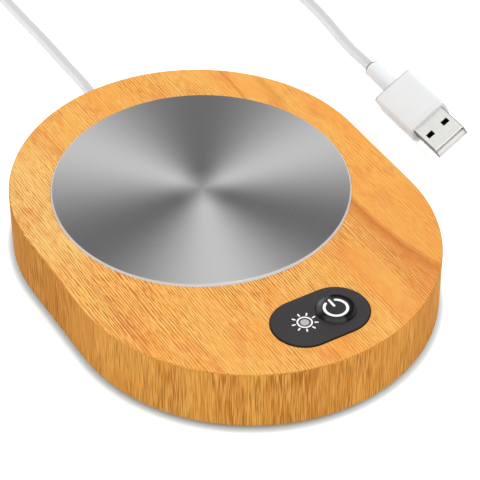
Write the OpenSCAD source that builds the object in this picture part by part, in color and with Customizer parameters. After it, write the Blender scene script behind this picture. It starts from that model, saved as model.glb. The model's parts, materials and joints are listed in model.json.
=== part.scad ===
// Electric mug warmer: a wooden base with a round heated plate, a small control
// panel with a push button and an indicator, and a supply cord that ends in a
// USB type A plug. Millimetres, +Z up. The origin is on the table, under the
// middle of the wooden body; the controls are at -Y and the cord leaves at +Y.

/* [Body] */
// Width of the wooden body
body_w = 112; // [110:1:118]
// Thickness of the wooden body
body_t = 20; // [19:0.5:24]
// Rounding of the upper edge
edge_r = 0.7; // [0.4:0.1:1.5]
// Rounding of the lower edge
base_r = 0.5; // [0.3:0.1:1]
// Thickness of the side wall round the pocket
wall_t = 6.5; // [5.5:0.5:7]
// Wood left above the pocket
deck_t = 6; // [5.5:0.5:7]

/* [Heating plate] */
// Diameter of the heating plate
plate_d = 90; // [86:1:92]
// Thickness of the heating plate
plate_t = 3; // [2.5:0.5:3.5]
// How far the plate stands above the wood
plate_rise = 0.6; // [0.4:0.1:1.2]
// Rounding of the plate's rim
plate_rim_r = 0.6; // [0.3:0.1:0.9]
// Distance from the plate's rim to the back edge of the body
plate_margin = 15; // [13.5:0.5:16]
// Distance between the plate and the control panel
plate_gap = 12.4; // [12:0.1:20]
// Width of the wooden ledge that carries the plate
ledge_w = 5; // [4:0.5:6]
// Thickness of the silicone gasket under the plate
gasket_t = 0.8; // [0.5:0.1:1]
// Width of the gasket
gasket_w = 4; // [2.5:0.5:4]
// Diameter of the threaded bosses under the plate
stud_d = 5; // [4.5:0.5:6]
// Distance of the bosses' axes from the ledge
stud_inset = 8; // [7:0.5:10]
// Thickness of the film heater
film_t = 0.5; // [0.3:0.1:0.8]
// Thickness of the clamp disc
clamp_t = 1; // [0.8:0.1:1.5]
// How far the clamp disc laps over the ledge
clamp_lap = 4; // [3:0.5:4]
// Length of the window for the heater's terminals
window_l = 22; // [22:1:26]
// Width of that window
window_w = 12; // [10:1:14]

/* [Control panel] */
// Length of the panel, across the body
panel_l = 30; // [28:0.5:34]
// Width of the panel
panel_w = 19.4; // [18.5:0.1:21]
// Distance from the panel to the front edge of the body
panel_margin = 8.2; // [7.5:0.1:9]
// Thickness of the panel's flange
panel_t = 1.4; // [1.2:0.1:1.8]
// How far the flange stands above the wood
panel_rise = 0.4; // [0.2:0.1:0.6]
// Width of the flange outside the skirt
panel_lip = 1.5; // [1.2:0.1:2]
// Wall of the skirt
skirt_t = 1.2; // [1:0.1:1.5]
// Diameter of the push button where it leaves the panel
button_d = 11.4; // [11:0.1:12]
// Diameter of the flat top of the button
button_top_d = 9.4; // [9:0.1:10]
// How far the button stands above the panel
button_rise = 1.1; // [0.9:0.1:1.4]
// Travel of the button
button_travel = 0.5; // [0.3:0.1:0.6]
// Diameter of the indicator's lens
lens_d = 2.6; // [2.4:0.1:3.2]
// Distance between the indicator and the button
icon_pitch = 10.3; // [10.2:0.1:11]

/* [Control board] */
// Width of the board
board_w = 26; // [25:1:27]
// Thickness of the board
board_t = 1.6; // [1.2:0.2:2]
// Length of the spacers between the board and the wood
spacer_l = 5.2; // [5.2:0.1:6]
// Diameter of the spacers
spacer_d = 5; // [4.5:0.5:5.5]
// Height of the push switch, to the top of its plunger
switch_h = 5; // [4.8:0.1:5.1]

/* [Base] */
// How far the feet stand below the wood
foot_drop = 1.2; // [0.8:0.1:2]
// Diameter of a foot
foot_d = 12; // [10:0.5:14]
// Depth of the foot's seat in the cover
foot_seat = 1; // [0.8:0.1:1.2]
// Thickness of the base cover
cover_t = 2.2; // [2:0.1:2.6]
// How far the cover sits inside the wood
cover_inset = 0.3; // [0.1:0.1:0.6]
// Width of the wooden rim outside the cover
cover_rim = 3.2; // [2.5:0.1:4]
// Diameter of the pads in the pocket that take the cover's screws
pad_d = 10; // [8:0.5:10]

/* [Cord and plug] */
// Diameter of the cord
cord_d = 3.6; // [3.4:0.1:3.8]
// Height of the cord's outlet above the lower face of the wood
outlet_up = 7.4; // [7:0.1:9]
// Diameter of the gland's barrel in the wall
gland_d = 6.4; // [6:0.1:7]
// Diameter of the gland's outer flange
gland_flange_d = 9; // [8:0.5:10]
// Length of the gland's tapered tail
gland_tail = 12; // [10:0.5:14]
// Width of the plug's moulded grip
grip_w = 15; // [14.6:0.1:16.5]
// Thickness of the grip
grip_t = 7.6; // [7:0.1:8]
// Rounding of the grip's long edges
grip_r = 1.3; // [1:0.1:2.5]
// Length of the grip
grip_l = 20; // [16:0.5:22]
// Length of the plug's neck
neck_l = 14; // [10:0.5:16]

/* [Hidden] */
$fn = 64;
// Overrun of a cut past the face that it opens
eps = 0.5;
// Play round a part that drops into its seat
play = 0.3;
// Play round a part that is guided or pushed home
guide = 0.15;
// Play round a pin or a screw in its own hole
snug = 0.05;

// Heights
wood_z = foot_drop;
top_z = wood_z + body_t;
deck_z = top_z - deck_t;
plate_top = top_z + plate_rise;
plate_z = plate_top - plate_t;
ledge_z = plate_z - gasket_t;
film_z = plate_z - film_t;
clamp_z = deck_z - clamp_t;
panel_top = top_z + panel_rise;
panel_z = panel_top - panel_t;
board_top = deck_z - spacer_l;
board_z = board_top - board_t;
cover_z = wood_z + cover_inset;
floor_z = cover_z + cover_t;
outlet_z = wood_z + outlet_up;
plunger_top = board_top + switch_h;

// Plan: the plate, the panel and the wood between them set the body's length
body_l = plate_margin + plate_d + plate_gap + panel_w + panel_margin;
body_span = body_l - body_w;
plate_y = body_l / 2 - plate_margin - plate_d / 2;
throat_d = plate_d - 2 * ledge_w;
clamp_d = throat_d + 2 * clamp_lap;
film_gap = 3.5;
film_d = throat_d - 2 * film_gap;
stud_r = throat_d / 2 - stud_inset;
panel_y = panel_margin + panel_w / 2 - body_l / 2;
skirt_l = panel_l - 2 * panel_lip;
skirt_w = panel_w - 2 * panel_lip;
button_x = icon_pitch / 2;
lens_x = -icon_pitch / 2;
board_back = 5.6;
board_y = panel_y + board_back;
pocket_l = body_l - 2 * wall_t;
pocket_w = body_w - 2 * wall_t;

// Screws: one size for the cover, the board and the clamp disc
screw_d = 2.6;
screw_head_d = 5;
screw_head_h = 1.6;
cover_screw_l = 10;
board_grip = 3.6;
clamp_grip = 2.6;
pad_edge = 9;
pad_turn = 40;
board_corner = 3;
board_l = skirt_l + spacer_d + 2 * board_corner;

// The three bosses of the plate, and the four points of the cover and board
stud_turns = [90, 210, 330];
corners = [[-1, -1], [1, -1], [-1, 1], [1, 1]];
foot_in_x = 22;
foot_in_y = 32.5;
pad_reach = body_w / 2 - pad_edge;
pad_at = [for (c = corners) [
    c[0] * pad_reach * sin(pad_turn),
    c[1] * (body_span / 2 + pad_reach * cos(pad_turn))
]];
foot_at = [for (c = corners) [
    c[0] * (body_w / 2 - foot_in_x),
    c[1] * (body_l / 2 - foot_in_y)
]];
board_at = [for (c = corners) [
    c[0] * (board_l / 2 - board_corner),
    board_y + c[1] * (board_w / 2 - board_corner)
]];

// ---------- shared shapes ----------

// Points of an arc about c, from angle a0 to angle a1
function arc(c, r, a0, a1, steps = 6) =
    [for (i = [0:steps]) c + r * [cos(a0 + (a1 - a0) * i / steps), sin(a0 + (a1 - a0) * i / steps)]];

// A flat racetrack with its long axis along Y
module track(l, w) {
    for (s = [-1, 1])
        translate([0, s * (l - w) / 2]) circle(d = w);
    square([w, l - w], center = true);
}

// The same with its long axis along X
module wide_track(l, w) {
    rotate(90) track(l, w);
}

// Carries a half profile, x outwards and y up, round a racetrack
module round_track(l, w) {
    for (s = [0, 1])
        mirror([0, s, 0])
            translate([0, (l - w) / 2, 0])
                rotate_extrude(angle = 180) children();
    translate([0, (l - w) / 2, 0])
        rotate([90, 0, 0])
            linear_extrude(l - w) {
                children();
                mirror([1, 0]) children();
            }
}

// Half profile of a slab with its outer edges rounded
module slab_profile(r, z0, z1, top_r, low_r) {
    polygon(concat(
        [[0, z0]],
        arc([r - low_r, z0 + low_r], low_r, -90, 0),
        arc([r - top_r, z1 - top_r], top_r, 0, 90),
        [[0, z1]]
    ));
}

// A flat rectangle with rounded corners
module soft_square(size, r) {
    for (x = [-1, 1], y = [-1, 1])
        translate([x * (size[0] / 2 - r), y * (size[1] / 2 - r)]) circle(r);
    square([size[0] - 2 * r, size[1]], center = true);
    square([size[0], size[1] - 2 * r], center = true);
}

// A cylinder from z0 to z1 at a point in the plan
module post(at, d, z0, z1) {
    translate([at[0], at[1], z0]) cylinder(d = d, h = z1 - z0);
}

// A pan-head screw that points up: the head's seat is at z = 0
module screw(grip) {
    cylinder(d = screw_d, h = grip);
    rotate_extrude()
        polygon(concat([[0, 0], [0, -screw_head_h]],
            arc([screw_head_d / 2 - 0.7, -screw_head_h + 0.7], 0.7, -90, 0), [[screw_head_d / 2, 0]]));
}

// The cross recess in a screw's head
module drive_recess() {
    for (a = [0, 90])
        rotate(a) translate([-1.4, -0.3, -screw_head_h - eps]) cube([2.8, 0.6, 0.8 + eps]);
}

module driven_screw(grip) {
    difference() {
        screw(grip);
        drive_recess();
    }
}

// ---------- paths of wires and cords ----------

function unit(v) = v / norm(v);

// A smooth line through the points, with so many steps a stretch
function through(p, steps) =
    let (n = len(p) - 1)
    concat([for (i = [0:n - 1], k = [0:steps - 1])
        let (t = k / steps, a = p[max(i - 1, 0)], b = p[i], c = p[i + 1], d = p[min(i + 2, n)])
        0.5 * (2 * b + (c - a) * t + (2 * a - 5 * b + 4 * c - d) * t * t
            + (3 * b - a - 3 * c + d) * t * t * t)], [p[n]]);

function headings(p, first, last) = [for (i = [0:len(p) - 1])
    i == 0 ? first : i == len(p) - 1 ? last : unit(p[i + 1] - p[i - 1])];

// A side direction carried along the headings without twist
function sides(t, side, i = 0) =
    i >= len(t) ? [] :
    let (s = unit(side - (side * t[i]) * t[i])) concat([s], sides(t, s, i + 1));

// A round tube along a line, closed at both ends
module tube(line, d, first, last, side, facets = 8) {
    t = headings(line, unit(first), unit(last));
    s = sides(t, side);
    n = len(line);
    points = [for (i = [0:n - 1], k = [0:facets - 1])
        let (a = 360 * k / facets)
        line[i] + d / 2 * (cos(a) * s[i] + sin(a) * cross(t[i], s[i]))];
    skin = [for (i = [0:n - 2], k = [0:facets - 1])
        let (a = i * facets + k, b = i * facets + (k + 1) % facets)
        [b, a, a + facets, b + facets]];
    polyhedron(points, concat(skin,
        [[for (k = [0:facets - 1]) k]],
        [[for (k = [facets - 1:-1:0]) (n - 1) * facets + k]]));
}

// ---------- wooden body ----------

module wood_body() {
    color("burlywood") difference() {
        round_track(body_l, body_w)
            slab_profile(body_w / 2, wood_z, top_z, edge_r, base_r);
        pocket();
        plate_seat();
        panel_seat();
        outlet_bore();
        for (p = pad_at)
            post(p, screw_d, wood_z, cover_z + cover_screw_l + eps);
        for (p = board_at)
            post(p, screw_d, deck_z - eps, deck_z + board_grip + eps);
    }
}

// The room for the works, cut from below, with a rebate for the cover
module pocket() {
    translate([0, 0, wood_z - eps])
        linear_extrude(deck_z - wood_z + eps)
            difference() {
                track(pocket_l, pocket_w);
                for (p = pad_at) translate(p) circle(d = pad_d);
            }
    translate([0, 0, wood_z - eps])
        linear_extrude(floor_z - wood_z + eps)
            track(body_l - 2 * cover_rim, body_w - 2 * cover_rim);
}

module plate_seat() {
    post([0, plate_y], plate_d + 2 * play, ledge_z, top_z + eps);
    post([0, plate_y], throat_d, deck_z - eps, top_z);
}

module panel_seat() {
    translate([0, panel_y, panel_z])
        linear_extrude(panel_t + eps) wide_track(panel_l + 2 * guide, panel_w + 2 * guide);
    translate([0, panel_y, deck_z - eps])
        linear_extrude(deck_t) wide_track(skirt_l + 2 * guide, skirt_w + 2 * guide);
}

// The hole in the back wall, with a flat seat for the gland's flange
module outlet_bore() {
    translate([0, body_l / 2 - wall_t - 2, outlet_z])
        rotate([-90, 0, 0]) cylinder(d = gland_d + 2 * snug, h = wall_t + 2 + eps);
    translate([0, body_l / 2 - gland_flange_t, outlet_z])
        rotate([-90, 0, 0]) cylinder(d = gland_flange_d + 2 * guide, h = gland_flange_t + eps);
}

// ---------- base ----------

module base_cover() {
    color("dimgray") difference() {
        union() {
            translate([0, 0, cover_z])
                linear_extrude(cover_t)
                    track(body_l - 2 * (cover_rim + guide), body_w - 2 * (cover_rim + guide));
            cover_ribs();
        }
        for (p = pad_at) {
            post(p, screw_d + 2 * guide, cover_z - eps, floor_z + eps);
            post(p, screw_head_d + 2 * guide, cover_z - eps, cover_z + screw_sink);
        }
        for (p = foot_at)
            post(p, foot_d + 2 * snug, cover_z - eps, cover_z + foot_seat);
        vents();
    }
}

screw_sink = 1;
rib_h = 1;
rib_t = 1.2;
rib_x = 20;
rib_l = 60;
vent_w = 2;
vent_l = 24;
vent_pitch = 7;
vent_rows = 3;

module cover_ribs() {
    for (s = [-1, 1])
        translate([s * rib_x - rib_t / 2, -rib_l / 2, floor_z - snug])
            cube([rib_t, rib_l, rib_h + snug]);
}

module vents() {
    for (i = [-vent_rows:vent_rows])
        translate([0, i * vent_pitch, cover_z - eps])
            linear_extrude(cover_t + 2 * eps) wide_track(vent_l, vent_w);
}

module cover_screws() {
    color("silver")
        for (p = pad_at)
            translate([p[0], p[1], cover_z + screw_sink])
                driven_screw(cover_screw_l - screw_sink);
}

module foot(i) {
    low_r = 0.6;
    color("black")
        translate([foot_at[i][0], foot_at[i][1], 0])
            rotate_extrude()
                polygon(concat([[0, 0]], arc([foot_d / 2 - low_r, low_r], low_r, -90, 0),
                    [[foot_d / 2, cover_z + foot_seat], [0, cover_z + foot_seat]]));
}

// ---------- heating plate and what is clamped under it ----------

stud_bore_d = screw_d + 2 * snug;
window_r = 2;

module at_studs() {
    for (a = stud_turns)
        translate([0, plate_y, 0]) rotate(a) translate([stud_r, 0, 0]) children();
}

module heating_plate() {
    color("silver") difference() {
        union() {
            translate([0, plate_y, 0])
                rotate_extrude()
                    slab_profile(plate_d / 2, plate_z, plate_top, plate_rim_r, plate_rim_r / 2);
            at_studs() post([0, 0], stud_d, deck_z + snug, plate_z + snug);
        }
        at_studs() post([0, 0], stud_bore_d, deck_z - eps, plate_z);
    }
}

module plate_gasket() {
    color("gray") difference() {
        post([0, plate_y], throat_d + 2 * gasket_w, ledge_z, plate_z);
        post([0, plate_y], throat_d, ledge_z - eps, plate_z + eps);
    }
}

// Holes for the bosses through whatever lies under the plate
module stud_holes(z0, z1) {
    at_studs() post([0, 0], stud_d + 2 * guide, z0, z1);
}

module film_heater() {
    color("peru") difference() {
        post([0, plate_y], film_d, film_z, plate_z);
        stud_holes(film_z - eps, plate_z + eps);
    }
}

module insulation_pad() {
    color("whitesmoke") difference() {
        post([0, plate_y], throat_d - 2 * guide, deck_z, film_z);
        stud_holes(deck_z - eps, film_z + eps);
        terminal_window(deck_z - eps, film_z + eps);
    }
}

module terminal_window(z0, z1) {
    translate([0, plate_y, z0])
        linear_extrude(z1 - z0) soft_square([window_l, window_w], window_r);
}

module clamp_disc() {
    slots = 6;
    slot_r = 22;
    slot_l = 12;
    slot_w = 5;
    color("lightgray") difference() {
        union() {
            post([0, plate_y], clamp_d, clamp_z, deck_z);
            clamp_bead();
        }
        at_studs() post([0, 0], screw_d + 2 * guide, clamp_z - eps, deck_z + eps);
        terminal_window(clamp_z - eps, deck_z + eps);
        for (i = [0:slots - 1])
            translate([0, plate_y, clamp_z - eps])
                rotate(360 * i / slots) translate([slot_r, 0, 0])
                    linear_extrude(clamp_t + 2 * eps) track(slot_l, slot_w);
    }
}

// The stiffening bead pressed into the disc
module clamp_bead() {
    bead_in = 7;
    bead_w = 1.2;
    translate([0, plate_y, clamp_z])
        rotate_extrude() translate([clamp_d / 2 - bead_in, 0]) circle(d = bead_w);
}

module clamp_screws() {
    color("silver")
        at_studs() translate([0, 0, clamp_z]) driven_screw(clamp_t + clamp_grip);
}

// Both sensors lie in the window, against the film heater, with their leads
// pointing sideways
sensor_y = plate_y + 2.5;
fuse_y = plate_y - 2.5;
fuse_d = 2.6;
fuse_l = 9;
fuse_leads = 4;
fuse_span = fuse_l + fuse_leads;
fuse_lead_d = 0.8;
thermistor_d = 2;
thermistor_l = 3.6;
thermistor_leads = 2.4;
thermistor_span = thermistor_l + thermistor_leads;
thermistor_lead_d = 0.6;
window_clear = 1;
fuse_x = window_l / 2 - window_clear - fuse_span / 2;
thermistor_x = -window_l / 2 + window_clear + thermistor_span / 2;

module lying(l, d) {
    rotate([0, 90, 0]) cylinder(d = d, h = l, center = true);
}

module thermistor() {
    color("black") translate([thermistor_x, sensor_y, film_z - thermistor_d / 2]) {
        lying(thermistor_l, thermistor_d);
        lying(thermistor_span, thermistor_lead_d);
    }
}

module thermal_fuse() {
    color("white") translate([fuse_x, fuse_y, film_z - fuse_d / 2]) {
        lying(fuse_l, fuse_d);
        lying(fuse_span, fuse_lead_d);
    }
}

// ---------- control panel ----------

module control_panel() {
    color([0.23, 0.22, 0.23]) difference() {
        union() {
            panel_flange();
            translate([0, panel_y, board_top])
                linear_extrude(panel_z - board_top + snug) wide_track(skirt_l, skirt_w);
            panel_barbs();
        }
        translate([0, panel_y, board_top - eps])
            linear_extrude(panel_z - board_top + eps)
                wide_track(skirt_l - 2 * skirt_t, skirt_w - 2 * skirt_t);
        post([button_x, panel_y], button_d + 2 * guide, panel_z - eps, panel_top + eps);
        post([lens_x, panel_y], lens_d + 2 * snug, panel_z - eps, panel_top + eps);
    }
}

module panel_flange() {
    panel_edge_r = 0.35;
    translate([0, panel_y, 0]) rotate(90)
        round_track(panel_l, panel_w)
            slab_profile(panel_w / 2, panel_z, panel_top, panel_edge_r, panel_edge_r / 2);
}

// A barb at each end of the skirt snaps under the wood and holds the panel down
module panel_barbs() {
    barb_w = 3;
    barb_h = 2.4;
    barb_out = 0.8;
    root = 1;
    for (s = [0, 1])
        mirror([s, 0, 0])
            translate([skirt_l / 2 - root, panel_y + barb_w / 2, deck_z - snug])
                rotate([90, 0, 0]) linear_extrude(barb_w)
                    polygon([[0, 0], [root + barb_out, 0], [root + barb_out, -0.5], [root, -barb_h], [0, -barb_h]]);
}

// The cap: a dished crown on a guided skirt, a collar that holds it under the
// panel, and a stem that stands on the switch
collar_w = 0.7;
collar_t = 0.8;
cap_wall = 1;
stem_d = 3;

module power_button() {
    r = button_d / 2;
    crown = panel_top + button_rise;
    shoulder = r - button_top_d / 2;
    collar_top = panel_z - snug * 2;
    color([0.2, 0.2, 0.2]) translate([button_x, panel_y, 0]) rotate_extrude()
        polygon(concat(
            [[0, plunger_top], [stem_d / 2, plunger_top], [stem_d / 2, crown - 1.5 * cap_wall],
             [r - cap_wall, crown - 1.5 * cap_wall - shoulder],
             [r - cap_wall, collar_top - collar_t], [r + collar_w, collar_top - collar_t],
             [r + collar_w, collar_top], [r, collar_top]],
            arc([r - shoulder, panel_top + guide], shoulder, 0, 55, 4),
            [[button_top_d / 2 - 0.4, crown], [0, crown]]));
}

// The lens is the top of a light guide that reaches down to the LED, with a
// flange that stops it under the panel
module indicator_lens() {
    flange_w = 0.8;
    flange_t = 1;
    color([0.75, 0.74, 0.76]) {
        post([lens_x, panel_y], lens_d, board_top + switch_h + play, panel_top);
        post([lens_x, panel_y], lens_d + 2 * flange_w, panel_z - flange_t, panel_z);
    }
}

// ---------- control board ----------

module control_board() {
    color("darkgreen") difference() {
        translate([0, board_y, board_z])
            linear_extrude(board_t) soft_square([board_l, board_w], board_corner);
        for (p = board_at)
            post(p, screw_d + 2 * guide, board_z - eps, board_top + eps);
    }
}

module board_spacers() {
    color("whitesmoke") difference() {
        for (p = board_at) post(p, spacer_d, board_top, deck_z);
        for (p = board_at) post(p, screw_d + 2 * guide, board_top - eps, deck_z + eps);
    }
}

module board_screws() {
    color("silver")
        for (p = board_at)
            translate([p[0], p[1], board_z]) driven_screw(board_t + spacer_l + board_grip);
}

switch_w = 6;
switch_case_h = 3.5;
plunger_d = 3.4;
plunger_in = 1.2;

module switch_housing() {
    color("black") difference() {
        translate([button_x, panel_y, board_top])
            linear_extrude(switch_case_h) soft_square([switch_w, switch_w], 0.5);
        post([button_x, panel_y], plunger_d + 2 * guide,
            board_top + switch_case_h - plunger_in - button_travel - play, board_top + switch_h);
    }
}

module switch_plunger() {
    color("gray")
        post([button_x, panel_y], plunger_d, board_top + switch_case_h - plunger_in, plunger_top);
}

// Four legs, soldered to the board beside the housing
module switch_legs() {
    leg = [1, 0.7, 1.2];
    color("silver")
        for (x = [-1, 1], y = [-1, 1])
            translate([button_x + x * (switch_w + leg[0]) / 2, panel_y + y * 2.2, board_top + leg[2] / 2])
                cube(leg, center = true);
}

led_d = 3;

module indicator_led() {
    color("white") translate([lens_x, panel_y, board_top]) {
        cylinder(d = led_d + 0.8, h = 1);
        cylinder(d = led_d, h = switch_h - led_d / 2);
        translate([0, 0, switch_h - led_d / 2]) sphere(d = led_d);
    }
}

// A chip under the board, with its legs along both sides
module chip(at, size, legs) {
    pitch = 1.27;
    foot_l = 0.9;
    translate([at[0], at[1], board_z]) {
        translate([0, 0, -size[2] / 2]) cube(size, center = true);
        for (s = [-1, 1], i = [0:legs - 1])
            translate([(i - (legs - 1) / 2) * pitch, s * (size[1] + foot_l) / 2, -0.25])
                cube([0.45, foot_l, 0.5], center = true);
    }
}

controller_size = [5, 4, 1.6];
controller_at = [-7, board_y - 2];
transistor_size = [6.5, 6, 2.3];
transistor_at = [8, board_y + 3];
capacitor_at = [-2, board_y + 7];

module controller_chip() {
    color("black") chip(controller_at, controller_size, 4);
}

module power_transistor() {
    color("black") chip(transistor_at, transistor_size, 3);
}

module capacitor() {
    can_d = 5;
    can_h = 3.6;
    color("lightgray") translate([capacitor_at[0], capacitor_at[1], board_z]) {
        translate([0, 0, -can_h]) cylinder(d = can_d, h = can_h);
        translate([0, 0, -0.4]) cube([can_d + 0.6, can_d + 0.6, 0.8], center = true);
    }
}

// Three side-entry connectors along the back of the board
connector = [7, 6, 4.2];
connector_y = board_y + board_w / 2 - connector[1] / 2;
connector_clear = 1;
connector_x = board_l / 2 - board_corner - spacer_d / 2 - connector_clear - connector[0] / 2;
wire_gap = 2;

module connector_body(x) {
    translate([x, connector_y, board_top]) difference() {
        translate([-connector[0] / 2, -connector[1] / 2, 0]) cube(connector);
        translate([-connector[0] / 2 + 1, -connector[1] / 2 - eps, 1])
            cube([connector[0] - 2, 2 + eps, connector[2] - 2]);
    }
}

// ---------- wires inside ----------

wire_d = 1.3;
sensor_wire_d = 1;
wire_z = board_top + connector[2] / 2;
connector_back = connector_y + connector[1] / 2;
jacket_end = 20;
floor_run = floor_z + wire_d / 2 + play;
wire_hang = 1.5;
under_clamp = clamp_z - wire_hang;
wire_bend = 2;
wire_lead_in = 8;
wire_lane = 17.5;
to_front = [0, -1, 0];
down = [0, 0, -1];

// From the end of the cord's jacket, round the left side and on to the board.
// The wire on the +X side at the jacket stays on the inside of the turn.
module supply_wire(side) {
    out = side * wire_d * 0.75;
    start = [side * cord_d / 4, body_l / 2 - jacket_end, outlet_z];
    lane = wire_lane - pocket_w / 2;
    last = [side * wire_gap / 2 - connector_x, connector_back, wire_z];
    line = through([
        start,
        start + [-wire_bend / 2, -2 * wire_bend - out * 0.7, -wire_bend / 2],
        [lane * 0.44 + out / 2, start[1] - 6 * wire_bend - out, floor_run + wire_bend / 3],
        [lane * 0.88 + out, plate_y + stud_r * 0.44 - out * 0.4, floor_run],
        [lane + out, plate_y - stud_r / 4, floor_run],
        [lane * 0.88 + out, plate_y - stud_r * 0.9, floor_run + wire_bend / 5],
        [last[0] - wire_lead_in * 0.6, last[1] + wire_lead_in + out, floor_run + 2 * wire_bend],
        last + [0, wire_lead_in * 0.4, 0],
        last
    ], 3);
    tube(line, wire_d, to_front, to_front, [1, 0, 0]);
}

// From a lead in the window down through the clamp disc, and under it to the board
module hanging_wire(from, to_x, d) {
    line = through([
        from,
        from + [0, -wire_bend * 0.15, -wire_bend],
        [from[0], from[1] - wire_bend * 1.2, under_clamp + wire_bend * 0.15],
        [from[0], from[1] - wire_bend * 3, under_clamp],
        [from[0] + (to_x - from[0]) * 0.3, plate_y - stud_r * 0.7, under_clamp - wire_bend * 0.2],
        [to_x, connector_back + wire_lead_in, wire_z],
        [to_x, connector_back, wire_z]
    ], 4);
    tube(line, d, down, to_front, [1, 0, 0]);
}

module heater_wire(side) {
    lead_x = fuse_x + side * (fuse_span / 2 - fuse_lead_d);
    lead_z = film_z - fuse_d / 2 - fuse_lead_d / 2 - snug;
    hanging_wire([lead_x, fuse_y, lead_z], connector_x + side * wire_gap / 2, wire_d);
}

module sensor_wire(side) {
    lead_x = thermistor_x + side * (thermistor_span / 2 - thermistor_lead_d);
    lead_z = film_z - thermistor_d / 2 - thermistor_lead_d / 2 - snug;
    hanging_wire([lead_x, sensor_y, lead_z], side * wire_gap / 2, sensor_wire_d);
}

// ---------- cord ----------

gland_flange_t = 1.6;
gland_collar_t = 1.2;
gland_end_y = body_l / 2 + gland_tail;

// Rubber gland: collar inside, barrel in the wall, flange in its seat, and a
// tapered tail with flex grooves
module cable_gland() {
    inner_y = body_l / 2 - wall_t - play;
    seat_y = body_l / 2 - gland_flange_t;
    out_y = body_l / 2 + 0.1;
    tail_r = gland_d / 2;
    tip_r = cord_d / 2 + 0.8;
    groove = 0.5;
    rings = 3;
    color("whitesmoke") difference() {
        translate([0, 0, outlet_z]) rotate([-90, 0, 0]) rotate_extrude()
            polygon(concat(
                [[cord_d / 2, inner_y - gland_collar_t], [gland_d / 2 + 1, inner_y - gland_collar_t],
                 [gland_d / 2 + 1, inner_y], [gland_d / 2, inner_y], [gland_d / 2, seat_y],
                 [gland_flange_d / 2, seat_y], [gland_flange_d / 2, out_y - 0.4],
                 [gland_flange_d / 2 - 0.4, out_y], [tail_r, out_y]],
                [for (i = [0:rings - 1], p = [0.30, 0.38, 0.55, 0.63])
                    let (s = (i + p) / rings, r = tail_r + (tip_r - tail_r) * s)
                    [p == 0.38 || p == 0.55 ? r - groove : r, out_y + (gland_end_y - out_y) * s * 0.95]],
                [[tip_r, gland_end_y], [cord_d / 2, gland_end_y]]));
    }
}

module along_outlet(y0, y1, d) {
    translate([0, y0, outlet_z]) rotate([-90, 0, 0]) cylinder(d = d, h = y1 - y0);
}

module inner_cord() {
    color("white") along_outlet(body_l / 2 - jacket_end, gland_end_y, cord_d - 2 * snug);
}

// A tie pulled tight on the cord behind the gland, so that it can't be pulled out
module cord_stop() {
    y = body_l / 2 - wall_t - play - gland_collar_t;
    strap_w = 2.5;
    head = [4, strap_w, 3];
    color("whitesmoke") difference() {
        union() {
            along_outlet(y - strap_w - guide, y - guide, cord_d + 2.4);
            translate([-head[0] / 2, y - strap_w - guide, outlet_z + cord_d / 2]) cube(head);
        }
        along_outlet(y - strap_w - 1, y + 1, cord_d);
    }
}

lay_z = cord_d / 2;
coil_at = [50, 173];
coil_r = 20;
coil_pitch = 3.8;
coil_layer = 3.7;
coil_lift = 0.6;
coil_layers = 3;

// The cord's twist holds the plug on one long edge of its grip
plug_at = [88.4, 52.6];
plug_roll = 30;
plug_z = grip_r + (grip_w / 2 - grip_r) * sin(plug_roll) + (grip_t / 2 - grip_r) * cos(plug_roll);

// From the gland down to the table, out behind the body and round to the coil
lead_route = [
    [0, gland_end_y, outlet_z], [0.9, 91, 7.8], [2.2, 99, 5.6], [3.4, 108, 3.3],
    [4.1, 117, 2.1], [4.2, 128, 1.8], [3.8, 142, 1.8], [3.5, 155, 1.8], [3.5, 167, 1.8],
    [5.5, 177, 1.8], [10.5, 184, 1.8], [18.5, 189, 1.9], [30, 192.5, 2.2], [43.8, 196, 2.4]
];

// From the top of the coil over its outer turn, back to the table and on to the plug
tail_route = [
    [60, 190.3, 9.8], [64.1, 187.1, 10.2], [67, 183.6, 11.4], [70.3, 177.8, 12.7],
    [73.8, 171.7, 13.4], [77.6, 165.1, 12.6], [81.2, 158.5, 9.6], [84.6, 151.6, 6.2],
    [87.6, 144.4, 3.5], [90.2, 136.6, 2.1], [92.3, 126, 1.8], [93.8, 114.5, 1.8],
    [94.4, 103, 1.8], [94, 92, 1.8], [92.9, 82, 2], [91.3, 73, 3], [89.7, 65, 4.7],
    [88.7, 58.3, 6.1], [plug_at[0], plug_at[1], plug_z]
];

module cord_lead() {
    color("white")
        tube(through(lead_route, 2), cord_d, [0, 1, 0], [0.966, 0.259, 0], [1, 0, 0]);
}

module cord_tail() {
    color("white")
        tube(through(tail_route, 2), cord_d, [0.866, -0.5, 0], [0, -1, 0], [0.5, 0.866, 0]);
}

coil_in = coil_r - coil_pitch - cord_d / 2;
coil_out = coil_r + coil_pitch + cord_d / 2;
coil_h = cord_d + (coil_layers - 1) * coil_layer;

module cord_coil() {
    color("white")
        translate([coil_at[0], coil_at[1], coil_lift])
            rotate_extrude()
                translate([(coil_in + coil_out) / 2, coil_h / 2])
                    soft_square([coil_out - coil_in, coil_h], cord_d / 2);
}

// A strap round the bundle of turns
module coil_tie() {
    strap_t = 0.5;
    strap_w = 4;
    strap_turn = 225;
    room = [coil_out - coil_in + 2 * guide, coil_h + 2 * snug];
    color("whitesmoke")
        translate([coil_at[0], coil_at[1], 0]) rotate(strap_turn)
            translate([(coil_in + coil_out) / 2, strap_w / 2, coil_lift + coil_h / 2])
                rotate([90, 0, 0]) linear_extrude(strap_w) difference() {
                    soft_square([room[0] + 2 * strap_t, room[1] + 2 * strap_t], cord_d / 2);
                    soft_square(room, cord_d / 2 - strap_t);
                }
}

// ---------- plug ----------

// A USB type A plug has a standard metal shell
shell_w = 12;
shell_t = 4.5;
shell_wall = 0.3;
shell_out = 12;
shell_in = 5;
tongue_t = 1.9;
contact_x = [-3.5, -1, 1, 3.5];

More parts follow.
